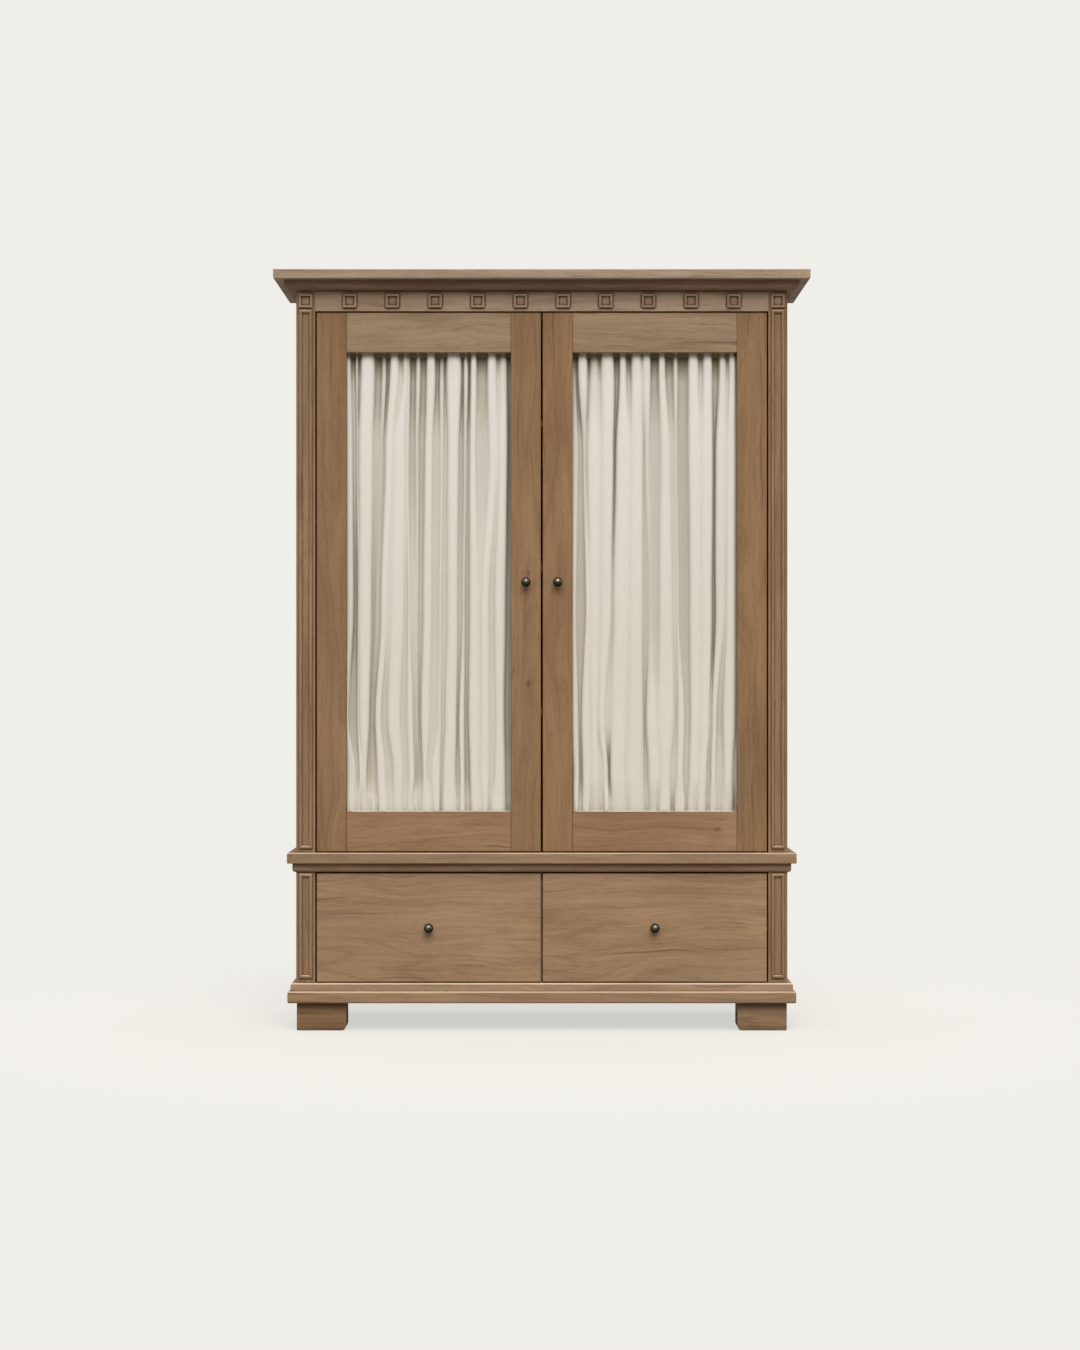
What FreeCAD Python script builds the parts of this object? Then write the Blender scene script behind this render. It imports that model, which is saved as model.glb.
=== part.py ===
import FreeCAD, Part
import math
import os
import re
import Sketcher
from FreeCAD import Placement, Rotation, Vector

# Linen press in solid oak, millimetres, +Z up, front towards -Y, origin on the floor in the middle.
# A low case with two drawers stands on block feet. A taller case with two curtained doors and three
# shelves stands on it, under a mitred crown. The left and right halves mirror each other.

doc = FreeCAD.newDocument("linen_press")

# Driving sizes. Every one can be changed by itself.
DIMENSIONS = {
    # case
    "body_width": 1316,
    "body_depth": 480,
    "side_thickness": 22,
    "back_thickness": 10,
    "back_rebate": 10,
    "back_joint_depth": 2.5,
    "post_width": 51,
    "post_depth": 45,
    "cut_margin": 2,
    # feet
    "foot_width": 131,
    "rear_foot_width": 98,
    "foot_depth": 110,
    "foot_height": 75,
    "foot_inset": 1.5,
    "foot_inner_round": 11,
    "foot_outer_round": 4,
    # base board and the moulding above it
    "base_board_height": 31.5,
    "base_overhang": 22,
    "base_top_round": 5,
    "base_low_round": 5,
    "plinth_height": 21.5,
    "plinth_reach": 14,
    "plinth_round": 5,
    # drawer opening and the waist
    "drawer_opening_height": 297,
    "rail_depth": 45,
    "divider_thickness": 22,
    "waist_height": 23.5,
    "waist_reach": 9.5,
    "waist_round": 8,
    "waist_board_height": 28.5,
    "waist_overhang": 23,
    "waist_top_round": 3.5,
    "waist_low_round": 2.5,
    # door opening, frieze and crown
    "door_opening_height": 1450,
    "frieze_height": 81,
    "frieze_thickness": 26,
    "crown_height": 25.5,
    "crown_reach": 30,
    "crown_round": 16,
    "crown_board_height": 25,
    "crown_overhang": 57,
    "crown_board_round": 2.5,
    # square blocks on the frieze and beaded frames on the posts
    "block_width": 36.3,
    "block_height": 36.3,
    "block_proud": 7,
    "block_border": 6,
    "block_sunk": 5,
    "block_pitch": 114.3,
    "block_rise": 9.7,
    "frame_width": 36,
    "frame_bead": 8.5,
    "frame_proud": 6,
    "frame_round": 3.5,
    "frame_waist_gap": 10,
    "frame_plinth_gap": 12,
    "frame_head_gap": 4.5,
    "frame_top_rise": 3.5,
    # doors
    "door_thickness": 25,
    "door_gap": 4,
    "door_foot_gap": 3,
    "meeting_gap": 5,
    "stile_width": 80,
    "rail_width": 106,
    "door_rebate": 14,
    "door_lip": 12,
    "board_ease": 1.2,
    "tenon_length": 40,
    "tenon_thickness": 8,
    "tenon_shoulder": 12,
    # pivot hinges
    "pivot_inset": 20,
    "swing_clearance": 0.42,
    "pivot_plate_start": 6,
    "pivot_plate_length": 50,
    "pivot_plate_width": 16,
    "pivot_plate_thickness": 2.5,
    "pin_radius": 3,
    "pin_clearance": 0.06,
    "pin_engagement": 12,
    "pin_end_clearance": 2,
    "collar_radius": 6,
    "seat_clearance": 0.3,
    # door stop and magnet catches
    "stop_height": 60,
    "stop_drop": 20,
    "stop_depth": 18,
    "stop_end_gap": 60,
    "catch_length": 40,
    "catch_height": 14,
    "catch_depth": 16,
    "strike_thickness": 1.2,
    "strike_border": 1,
    # curtains and their rods
    "rod_radius": 4,
    "socket_size": 12,
    "socket_length": 6,
    "socket_floor": 2,
    "curtain_fullness": 22,
    "curtain_taper": 60,
    # drawers
    "drawer_front_thickness": 22,
    "drawer_gap": 4,
    "drawer_foot_gap": 2.5,
    "box_inset": 12.5,
    "box_rise": 20,
    "box_height": 240,
    "box_rear_gap": 18,
    "box_wall": 15,
    "tongue_length": 8,
    "tongue_thickness": 7,
    "bottom_thickness": 8,
    "bottom_rise": 10,
    "groove_depth": 6,
    "runner_height": 12,
    "runner_reach": 8,
    "runner_gap": 1.5,
    "packer_height": 40,
    "packer_rear_gap": 12,
    # shelves
    "shelf_thickness": 20,
    "shelf_front_gap": 2,
    "shelf_side_gap": 1,
    "cleat_width": 18,
    "cleat_height": 22,
    "cleat_setback": 10,
    # knobs
    "knob_radius": 12.5,
    "knob_projection": 30,
    "knob_rose_radius": 8,
    "knob_rose_thickness": 2,
    "knob_neck_angle": 156,
    "knob_spigot_radius": 3,
    "knob_spigot_length": 12,
}

# Places that follow from the driving sizes.
PLACES = {
    "half_width": "body_width/2",
    "face_y": "-(body_depth - crown_overhang)/2",
    "rear_y": "face_y + body_depth",
    "inner_half": "half_width - side_thickness",
    "opening_half": "half_width - post_width",
    "base_top": "foot_height + base_board_height",
    "plinth_top": "base_top + plinth_height",
    "drawer_opening_top": "plinth_top + drawer_opening_height",
    "waist_low": "drawer_opening_top + waist_height",
    "waist_top": "waist_low + waist_board_height",
    "door_opening_top": "waist_top + door_opening_height",
    "crown_low": "door_opening_top + frieze_height",
    "lower_height": "waist_low - base_top",
    "upper_height": "crown_low - waist_top",
    "inside_depth": "body_depth - back_thickness",
    "swing_radius": "sqrt(pivot_inset^2 + door_thickness^2/4)",
    "hinge_gap": "swing_radius + swing_clearance - pivot_inset",
    "door_width": "opening_half - hinge_gap - meeting_gap/2",
    "door_height": "door_opening_height - door_gap - door_foot_gap",
    "door_start": "-opening_half + hinge_gap",
    "door_low": "waist_top + door_foot_gap",
    "light_width": "door_width - 2*stile_width",
    "light_height": "door_height - 2*rail_width",
    "light_low": "door_low + rail_width",
    "tenon_height": "rail_width - door_rebate - 2*tenon_shoulder",
    "pocket_depth": "door_thickness - door_lip",
    "rod_y": "face_y + door_lip + pocket_depth/2",
    "rod_rise": "door_rebate - pocket_depth/2",
    "stop_y": "face_y + frieze_thickness",
    "stop_low": "door_opening_top - stop_drop",
    "stop_half": "opening_half - stop_end_gap",
    "catch_y": "face_y + door_thickness + seat_clearance",
    "catch_z": "stop_low + (stop_drop - door_gap - catch_height)/2",
    "catch_x": "-(meeting_gap + stile_width + catch_length)/2",
    "front_width": "opening_half - drawer_gap - meeting_gap/2",
    "front_height": "drawer_opening_height - drawer_gap - drawer_foot_gap",
    "front_start": "-opening_half + drawer_gap",
    "front_low": "plinth_top + drawer_foot_gap",
    "box_start": "front_start + box_inset",
    "box_width": "front_width - 2*box_inset",
    "box_low": "front_low + box_rise",
    "box_y": "face_y + drawer_front_thickness",
    "box_depth": "inside_depth - drawer_front_thickness - box_rear_gap",
    "floor_low": "box_low + bottom_rise",
    "runner_z": "box_low + box_height/2 - runner_height/2",
    "shelf_clear": "(upper_height - 3*shelf_thickness)/4",
    "shelf_y": "face_y + post_depth + shelf_front_gap",
    "shelf_depth": "inside_depth - post_depth - 2*shelf_front_gap",
    "block_z": "door_opening_top + block_rise",
    "knob_ball_y": "knob_radius - knob_projection",
    "knob_neck_radius": "knob_radius*sin(knob_neck_angle)",
}

sizes = doc.addObject("Spreadsheet::Sheet", "sizes")
for row, (name, value) in enumerate(DIMENSIONS.items(), start=1):
    sizes.set(f"A{row}", name)
    sizes.set(f"B{row}", str(value))
    sizes.setAlias(f"B{row}", name)
doc.recompute()


def linked(formula):
    """The formula with each size pointed at its cell and each place at the layout."""

    def source(match):
        word = match.group(0)
        if word in DIMENSIONS:
            return "sizes." + word
        return "layout." + word if word in PLACES else word

    return re.sub(r"[a-z_]+", source, str(formula))


def bind(thing, prop, formula):
    thing.setExpression(prop, linked(formula))


def number(formula):
    return float(layout.evalExpression(linked(formula)))


layout = doc.addObject("App::VarSet", "layout")
for name, formula in PLACES.items():
    layout.addProperty("App::PropertyFloat", name, "Places", "")
    bind(layout, name, formula)
doc.recompute()

nodes = []


def keep(piece):
    """Count a finished piece, or a group of like pieces, as a node of the press."""
    nodes.append(piece)
    return piece


def place(thing, at, turn=None):
    if turn:
        thing.Placement = Placement(Vector(), turn)
    for axis, formula in zip("xyz", at):
        bind(thing, f"Placement.Base.{axis}", formula)


def new_body(label, at, turn=None):
    body = doc.addObject("PartDesign::Body", label)
    body.Label = label
    place(body, at, turn)
    return body


def box(body, kind, name, size, at=(0, 0, 0), turn=None):
    """An additive or subtractive box in a body, by its length, width and height."""
    feature = body.newObject(f"PartDesign::{kind}Box", name)
    for prop, formula in zip(("Length", "Width", "Height"), size):
        bind(feature, prop, formula)
    place(feature, at, turn)
    return feature


TURNS = {
    "+x": Rotation(Vector(0, 1, 0), 90),
    "+y": Rotation(Vector(1, 0, 0), -90),
    "+z": None,
}


def cylinder(body, kind, name, radius, height, at, along="+z"):
    """An additive or subtractive cylinder in a body, starting at `at`."""
    feature = body.newObject(f"PartDesign::{kind}Cylinder", name)
    bind(feature, "Radius", radius)
    bind(feature, "Height", height)
    place(feature, at, TURNS[along])
    return feature


def board(label, size, at):
    """A squared board in a body of its own, its low corner at `at`."""
    body = new_body(label, at)
    box(body, "Additive", "blank", size)
    return body


def group(label, pieces):
    """Like pieces that share one node and stay separate solids."""
    compound = doc.addObject("Part::Compound", label)
    compound.Label = label
    compound.Links = pieces
    return keep(compound)


def edges_at(shape, sides):
    """Names of the edges that lie in the named outer planes, such as {"y": "low", "z": "high"}."""
    bounds = shape.BoundBox
    planes = {
        "x": {"low": bounds.XMin, "high": bounds.XMax},
        "y": {"low": bounds.YMin, "high": bounds.YMax},
        "z": {"low": bounds.ZMin, "high": bounds.ZMax},
    }
    near = 0.001
    return [
        f"Edge{index}"
        for index, edge in enumerate(shape.Edges, start=1)
        if all(
            abs(getattr(vertex.Point, axis) - planes[axis][side]) < near
            for axis, side in sides.items()
            for vertex in edge.Vertexes
        )
    ]


def ease(body, name, radius, *choices):
    """Round the edges of the body that any of the choices names."""
    doc.recompute()
    base = body.Tip
    names = {name for sides in choices for name in edges_at(base.Shape, sides)}
    fillet = body.newObject("PartDesign::Fillet", name)
    fillet.Base = (base, sorted(names))
    bind(fillet, "Radius", radius)


def repeat(body, features, count, pitch):
    """The features of a body, as often as count says, one pitch apart along X."""
    doc.recompute()
    pattern = body.newObject("PartDesign::LinearPattern", "row")
    pattern.Originals = features
    pattern.Direction = (origin_plane(body, "X_Axis"), [""])
    bind(pattern, "Length", f"{count - 1}*{pitch}")
    pattern.Occurrences = count
    body.Tip = pattern
    return body


def across(side, start, width, whole="0"):
    """The low X of something that starts at `start` on the left side, or of its mirror image."""
    return start if side == "left" else f"{whole} - ({start}) - ({width})"


def origin_plane(body, role):
    return next(item for item in body.Origin.OriginFeatures if item.Role == role)


def arc_between(start, end, radius, bulge):
    """The arc of a circle between two points, and whether it runs from start to end."""
    chord = end - start
    height = math.sqrt(max(radius**2 - chord.Length**2 / 4, 0))
    aside = Vector(-chord.y, chord.x, 0).normalize()
    centre = (start + end) / 2 + aside * height * bulge
    first = math.atan2(start.y - centre.y, start.x - centre.x)
    last = math.atan2(end.y - centre.y, end.x - centre.x)
    forward = bulge > 0
    circle = Part.Circle(centre, Vector(0, 0, 1), radius)
    ends = (first, last) if forward else (last, first)
    return Part.ArcOfCircle(circle, *ends), forward


def profile(body, role, outline):
    """A closed sketch on an origin plane. A corner is (u, v), or (u, v, radius, bulge) where the
    stretch to the next corner is round: bulge 1 turns it to the left, -1 to the right."""
    sketch = body.newObject("Sketcher::SketchObject", "outline")
    sketch.AttachmentSupport = [(origin_plane(body, role), "")]
    sketch.MapMode = "FlatFace"
    points = [Vector(number(corner[0]), number(corner[1]), 0) for corner in outline]
    starts = []
    ends = []
    for index, corner in enumerate(outline):
        start, end = points[index], points[(index + 1) % len(points)]
        forward = True
        if len(corner) > 2:
            stretch, forward = arc_between(start, end, number(corner[2]), corner[3])
        else:
            stretch = Part.LineSegment(start, end)
        sketch.addGeometry(stretch)
        starts.append(1 if forward else 2)
        ends.append(2 if forward else 1)
    for index, corner in enumerate(outline):
        after = (index + 1) % len(outline)
        sketch.addConstraint(Sketcher.Constraint("Coincident", index, ends[index], after, starts[after]))
        for kind, place_on_axis, formula in (
            ("DistanceX", points[index].x, corner[0]),
            ("DistanceY", points[index].y, corner[1]),
        ):
            held = sketch.addConstraint(
                Sketcher.Constraint(kind, -1, 1, index, starts[index], place_on_axis)
            )
            sketch.setExpression(f"Constraints[{held}]", linked(formula))
        if len(corner) > 2:
            held = sketch.addConstraint(Sketcher.Constraint("Radius", index, number(corner[2])))
            sketch.setExpression(f"Constraints[{held}]", linked(corner[2]))
    return sketch


def pad(body, sketch, length):
    feature = body.newObject("PartDesign::Pad", "run")
    feature.Profile = sketch
    bind(feature, "Length", length)
    return feature


# Feet: four oak blocks, their inner toes well rounded. The rear pair is narrower.
for row, width, foot_y in (
    ("front", "foot_width", "face_y + foot_inset"),
    ("rear", "rear_foot_width", "rear_y - foot_inset - foot_depth"),
):
    for side, inner, outer in (("left", "high", "low"), ("right", "low", "high")):
        foot = board(
            f"foot_{row}_{side}",
            (width, "foot_depth", "foot_height"),
            (across(side, "-half_width + foot_inset", width), foot_y, 0),
        )
        ease(foot, "inner_toe", "foot_inner_round", {"x": inner, "z": "low"})
        ease(foot, "outer_toe", "foot_outer_round", {"x": outer, "z": "low"})
        keep(foot)


def shelf_board(label, overhang, height, low, top_round, low_round):
    """A full board that stands proud of the case at the front and sides, its edges rounded."""
    body = board(
        label,
        (f"body_width + 2*{overhang}", f"body_depth + {overhang}", height),
        (f"-half_width - {overhang}", f"face_y - {overhang}", low),
    )
    for name, radius, level in (("top_edge", top_round, "high"), ("low_edge", low_round, "low")):
        proud_edges = [
            {"y": "low", "z": level},
            {"x": "low", "z": level},
            {"x": "high", "z": level},
        ]
        ease(body, name, radius, *proud_edges)
    return keep(body)


shelf_board(
    "base_board", "base_overhang", "base_board_height", "foot_height", "base_top_round", "base_low_round"
)


def moulding_run(label, outline, reach, height, length, mitres, at, turn):
    """One length of moulding. It runs along its own +X with its back on the XZ plane, and each end
    named in mitres is cut at 45 degrees to meet the next length."""
    run = new_body(label, at, Rotation(Vector(0, 0, 1), turn))
    pad(run, profile(run, "YZ_Plane", outline), length)
    cut_size = (f"({reach} + 2*cut_margin)*sqrt(2)", reach, f"{height} + 2*cut_margin")
    if "start" in mitres:
        corner = ("-cut_margin", f"-{reach} - cut_margin", "-cut_margin")
        box(run, "Subtractive", "start_mitre", cut_size, corner, Rotation(Vector(0, 0, 1), 45))
    if "end" in mitres:
        corner = (f"{length} - {reach} - cut_margin", "cut_margin", "-cut_margin")
        box(run, "Subtractive", "end_mitre", cut_size, corner, Rotation(Vector(0, 0, 1), -45))
    return run


def moulding(label, outline, reach, height, low):
    """Three mitred lengths round the front and the two sides of the case."""
    return group(label, [
        moulding_run(
            f"{label}_front", outline, reach, height, f"(body_width + 2*{reach})", ("start", "end"),
            (f"-half_width - {reach}", "face_y", low), 0,
        ),
        moulding_run(
            f"{label}_left", outline, reach, height, f"(body_depth + {reach})", ("end",),
            ("-half_width", "rear_y", low), -90,
        ),
        moulding_run(
            f"{label}_right", outline, reach, height, f"(body_depth + {reach})", ("start",),
            ("half_width", f"face_y - {reach}", low), 90,
        ),
    ])


# Plinth moulding: a square band whose top front edge is rounded.
moulding(
    "plinth_moulding",
    [
        (0, 0),
        ("-plinth_reach", 0),
        ("-plinth_reach", "plinth_height - plinth_round", "plinth_round", -1),
        ("-plinth_reach + plinth_round", "plinth_height"),
        (0, "plinth_height"),
    ],
    "plinth_reach", "plinth_height", "base_top",
)

# Lower case: bottom board notched round the posts, sides rebated for the back, and the two posts.
case_bottom = board(
    "case_bottom",
    ("2*inner_half", "inside_depth", "plinth_height"),
    ("-inner_half", "face_y", "base_top"),
)
notch = ("post_width - side_thickness", "post_depth", "plinth_height")
box(case_bottom, "Subtractive", "left_notch", notch)
box(case_bottom, "Subtractive", "right_notch", notch, ("2*inner_half - post_width + side_thickness", 0, 0))
keep(case_bottom)


def case_side(label, side, low, height):
    """A side board behind its post, rebated at the rear for the back."""
    panel = board(
        label,
        ("side_thickness", "body_depth - post_depth", height),
        (across(side, "-half_width", "side_thickness"), "face_y + post_depth", low),
    )
    box(
        panel, "Subtractive", "back_rebate",
        ("back_rebate", "back_thickness", height),
        (
            across(side, "side_thickness - back_rebate", "back_rebate", "side_thickness"),
            "inside_depth - post_depth",
            0,
        ),
    )
    return keep(panel)


def post(label, side, low, height):
    """A square corner post, its front edges eased."""
    body = board(
        label,
        ("post_width", "post_depth", height),
        (across(side, "-half_width", "post_width"), "face_y", low),
    )
    ease(body, "eased", "board_ease", {"x": "low", "y": "low"}, {"x": "high", "y": "low"})
    return keep(body)


BACK_BOARDS = 12


def case_back(label, low, height):
    """A thin back of matched boards, let into the rebates of the two sides. A vee marks each joint
    on its outer face."""
    width = "2*(inner_half + back_rebate)"
    pitch = f"{width}/{BACK_BOARDS}"
    back = board(
        label,
        (width, "back_thickness", height),
        ("-inner_half - back_rebate", "rear_y - back_thickness", low),
    )
    vee = box(
        back, "Subtractive", "joint",
        ("2*back_joint_depth", "2*back_joint_depth", height),
        (pitch, "back_thickness - back_joint_depth", 0),
        Rotation(Vector(0, 0, 1), 45),
    )
    return keep(repeat(back, [vee], BACK_BOARDS - 1, pitch))


for side in ("left", "right"):
    case_side(f"lower_side_{side}", side, "base_top", "lower_height")
    post(f"lower_post_{side}", side, "base_top", "lower_height")
case_back("lower_back", "base_top", "lower_height")

group("lower_top_rails", [
    board(
        "front_top_rail",
        ("2*opening_half", "rail_depth", "waist_height"),
        ("-opening_half", "face_y", "drawer_opening_top"),
    ),
    board(
        "rear_top_rail",
        ("2*inner_half", "rail_depth", "waist_height"),
        ("-inner_half", "rear_y - back_thickness - rail_depth", "drawer_opening_top"),
    ),
])

divider_setback = "(drawer_front_thickness + runner_gap)"
keep(board(
    "drawer_divider",
    ("divider_thickness", f"inside_depth - {divider_setback}", "drawer_opening_height"),
    ("-divider_thickness/2", f"face_y + {divider_setback}", "plinth_top"),
))


def runner(label, side, wall_x, box_face, front_x, packer_y):
    """A hardwood runner: a packer on the wall and a bar that fills the groove of the drawer side.
    All its X values are for the left drawer, and the bar's front end stops the drawer."""
    inward = 1 if wall_x.startswith("-inner") else -1
    reach = "runner_reach - seat_clearance"
    packer_end = f"{box_face} - {inward}*runner_gap"
    bar_end = f"{box_face} + {inward}*({reach})"
    bar_y = "box_y + seat_clearance"
    length_end = "rear_y - back_thickness - packer_rear_gap"
    packer_width = f"{inward}*(({packer_end}) - ({wall_x}))"
    bar_width = f"{inward}*(({bar_end}) - ({front_x}))"
    packer_low_x = wall_x if inward > 0 else packer_end
    bar_low_x = front_x if inward > 0 else bar_end
    body = new_body(label, (0, 0, 0))
    box(
        body, "Additive", "packer",
        (packer_width, f"{length_end} - ({packer_y})", "packer_height"),
        (
            across(side, packer_low_x, packer_width),
            packer_y,
            "runner_z + runner_height/2 - packer_height/2",
        ),
    )
    box(
        body, "Additive", "bar",
        (bar_width, f"{length_end} - ({bar_y})", "runner_height"),
        (across(side, bar_low_x, bar_width), bar_y, "runner_z"),
    )
    return body


runners = []
for side in ("left", "right"):
    runners.append(runner(
        f"outer_runner_{side}", side, "-inner_half", "box_start", "-opening_half", "face_y + post_depth",
    ))
    runners.append(runner(
        f"middle_runner_{side}", side, "-divider_thickness/2", "(box_start + box_width)",
        "-divider_thickness/2", f"face_y + {divider_setback}",
    ))
group("drawer_runners", runners)

# Waist: an ovolo under a full board that is the floor of the upper case.
moulding(
    "waist_moulding",
    [
        (0, 0),
        ("-waist_reach + waist_round", 0, "waist_round", -1),
        ("-waist_reach", "waist_round"),
        ("-waist_reach", "waist_height"),
        (0, "waist_height"),
    ],
    "waist_reach", "waist_height", "drawer_opening_top",
)
waist_board = shelf_board(
    "waist_board", "waist_overhang", "waist_board_height", "waist_low", "waist_top_round",
    "waist_low_round",
)
plate_size = ("pivot_plate_length", "pivot_plate_width", "pivot_plate_thickness")
plate_y = "face_y + (door_thickness - pivot_plate_width)/2"
for side in ("left", "right"):
    box(
        waist_board, "Subtractive", f"{side}_plate_seat", plate_size,
        (
            across(side, "door_start + pivot_plate_start", "pivot_plate_length")
            + " + half_width + waist_overhang",
            f"{plate_y} - face_y + waist_overhang",
            "waist_board_height - pivot_plate_thickness",
        ),
    )

# Upper case: sides, posts, back, and the frieze rail between the posts.
for side in ("left", "right"):
    case_side(f"upper_side_{side}", side, "waist_top", "upper_height")
    post(f"upper_post_{side}", side, "waist_top", "upper_height")
case_back("upper_back", "waist_top", "upper_height")

frieze_rail = board(
    "frieze_rail",
    ("2*opening_half", "frieze_thickness", "frieze_height"),
    ("-opening_half", "face_y", "door_opening_top"),
)
for side in ("left", "right"):
    box(
        frieze_rail, "Subtractive", f"{side}_plate_seat", plate_size,
        (
            across(side, "door_start + pivot_plate_start", "pivot_plate_length") + " + opening_half",
            f"{plate_y} - face_y",
            0,
        ),
    )
keep(frieze_rail)


def block(label, x):
    """A square block on the frieze, its face sunk inside a border."""
    body = new_body(label, (f"{x} - block_width/2", "face_y - block_proud", "block_z"))
    blank = box(body, "Additive", "blank", ("block_width", "block_proud", "block_height"))
    sunk = box(
        body, "Subtractive", "sunk",
        ("block_width - 2*block_border", "block_sunk", "block_height - 2*block_border"),
        ("block_border", 0, "block_border"),
    )
    return body, [blank, sunk]


RAIL_BLOCKS = 10
group("frieze_blocks", [
    repeat(*block("rail_blocks", f"-{RAIL_BLOCKS - 1}*block_pitch/2"), RAIL_BLOCKS, "block_pitch"),
    block("left_post_block", "-(half_width - post_width/2)")[0],
    block("right_post_block", "(half_width - post_width/2)")[0],
])


def post_frame(label, side, low, height):
    """A mitred bead that frames the face of a post, rounded on both of its front edges."""
    body = board(
        label,
        ("frame_width", "frame_proud", height),
        (
            across(side, "-half_width + (post_width - frame_width)/2", "frame_width"),
            "face_y - frame_proud",
            low,
        ),
    )
    box(
        body, "Subtractive", "field",
        ("frame_width - 2*frame_bead", "frame_proud", f"{height} - 2*frame_bead"),
        ("frame_bead", 0, "frame_bead"),
    )
    ease(body, "bead", "frame_round", {"y": "low"})
    return body


group("post_frames", [
    post_frame(f"{level}_frame_{side}", side, low, height)
    for side in ("left", "right")
    for level, low, height in (
        (
            "lower", "plinth_top + frame_plinth_gap",
            "(drawer_opening_height - frame_plinth_gap - frame_head_gap)",
        ),
        (
            "upper", "waist_top + frame_waist_gap",
            "(door_opening_height - frame_waist_gap + frame_top_rise)",
        ),
    )
])

# Stop rail behind the frieze, with a magnet catch let in for each door.
stop_rail = board(
    "door_stop_rail",
    ("2*stop_half", "stop_depth", "stop_height"),
    ("-stop_half", "stop_y", "stop_low"),
)
catches = []
for side in ("left", "right"):
    catch_x = across(side, "catch_x", "catch_length")
    box(
        stop_rail, "Subtractive", f"{side}_catch_seat",
        ("catch_length", "catch_y + catch_depth - stop_y", "catch_z + catch_height - stop_low"),
        (f"{catch_x} + stop_half", 0, 0),
    )
    catches.append(board(
        f"{side}_catch", ("catch_length", "catch_depth", "catch_height"), (catch_x, "catch_y", "catch_z"),
    ))
keep(stop_rail)
group("magnet_catches", catches)

# Shelves: three loose boards, each laid on a pair of cleats screwed to the sides.
shelves = []
cleats = []
for count in (1, 2, 3):
    shelf_low = f"(waist_top + {count}*(shelf_clear + shelf_thickness) - shelf_thickness)"
    shelves.append(board(
        f"shelf_{count}",
        ("2*(inner_half - shelf_side_gap)", "shelf_depth", "shelf_thickness"),
        ("-inner_half + shelf_side_gap", "shelf_y", shelf_low),
    ))
    for side in ("left", "right"):
        cleat = board(
            f"cleat_{count}_{side}",
            ("cleat_width", "shelf_depth - 2*cleat_setback", "cleat_height"),
            (
                across(side, "-inner_half", "cleat_width"),
                "shelf_y + cleat_setback",
                f"{shelf_low} - cleat_height",
            ),
        )
        ease(cleat, "eased", "board_ease", {"z": "low", "x": "high" if side == "left" else "low"})
        cleats.append(cleat)
group("shelves", shelves)
group("shelf_cleats", cleats)

# Crown: an ovolo below the top board.
moulding(
    "crown_moulding",
    [
        (0, 0),
        ("-crown_reach + crown_round", 0, "crown_round", -1),
        ("-crown_reach", "crown_round"),
        ("-crown_reach", "crown_height"),
        (0, "crown_height"),
    ],
    "crown_reach", "crown_height", "crown_low - crown_height",
)
shelf_board(
    "crown_board", "crown_overhang", "crown_board_height", "crown_low", "crown_board_round",
    "crown_board_round",
)


def case_pivot(side, level):
    """A brass plate with its pin. The lower one has a collar that carries the door."""
    low = "waist_top - pivot_plate_thickness" if level == "lower" else "door_opening_top"
    body = board(
        f"{level}_pivot_{side}",
        plate_size,
        (across(side, "door_start + pivot_plate_start", "pivot_plate_length"), plate_y, low),
    )
    pin_x = across(side, "(pivot_inset - pivot_plate_start)", 0, "pivot_plate_length")
    if level == "lower":
        pin_length = "door_foot_gap + pin_engagement"
        foot = (pin_x, "pivot_plate_width/2", "pivot_plate_thickness")
        cylinder(body, "Additive", "collar", "collar_radius", "door_foot_gap - seat_clearance", foot)
    else:
        pin_length = "door_gap + pin_engagement"
        foot = (pin_x, "pivot_plate_width/2", f"-({pin_length})")
    cylinder(body, "Additive", "pin", "pin_radius", pin_length, foot)
    return body


group("door_pivots", [
    case_pivot(side, level)
    for side in ("left", "right")
    for level in ("lower", "upper")
])


BALL_BANDS = 8


def knob(label, x, front, z):
    """A knob turned on the lathe in narrow bands, on a rose, with a spigot that seats in its board."""
    body = new_body(label, (x, front, z))
    angles = [f"({band}*knob_neck_angle/{BALL_BANDS})" for band in range(BALL_BANDS + 1)]
    ball = [(f"knob_radius*sin{angle}", f"-(knob_radius*cos{angle} - knob_ball_y)") for angle in angles]
    sketch = profile(body, "XY_Plane", [
        (0, "knob_spigot_length"),
        *ball,
        ("knob_neck_radius", "-knob_rose_thickness"),
        ("knob_rose_radius", "-knob_rose_thickness"),
        ("knob_rose_radius", 0),
        ("knob_spigot_radius", 0),
        ("knob_spigot_radius", "knob_spigot_length"),
    ])
    turned = body.newObject("PartDesign::Revolution", "turned")
    turned.Profile = sketch
    turned.ReferenceAxis = (sketch, ["V_Axis"])
    turned.Angle = 360
    return keep(body)


def stile(side, name, start, rebate_start, mortise_start):
    """A full-height door stile, rebated behind the light and mortised for both rails."""
    body = board(
        f"door_{side}_{name}",
        ("stile_width", "door_thickness", "door_height"),
        (across(side, start, "stile_width"), "face_y", "door_low"),
    )
    ease(
        body, "eased", "board_ease",
        *({"x": edge, "y": face} for edge in ("low", "high") for face in ("low", "high")),
    )
    box(
        body, "Subtractive", "rebate",
        ("door_rebate", "pocket_depth", "light_height + 2*door_rebate"),
        (
            across(side, rebate_start, "door_rebate", "stile_width"),
            "door_lip",
            "rail_width - door_rebate",
        ),
    )
    for end, low in (("low", "tenon_shoulder"), ("top", "door_height - tenon_shoulder - tenon_height")):
        box(
            body, "Subtractive", f"{end}_mortise",
            ("tenon_length", "tenon_thickness", "tenon_height"),
            (
                across(side, mortise_start, "tenon_length", "stile_width"),
                "(door_thickness - tenon_thickness)/2",
                low,
            ),
        )
    return body


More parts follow.
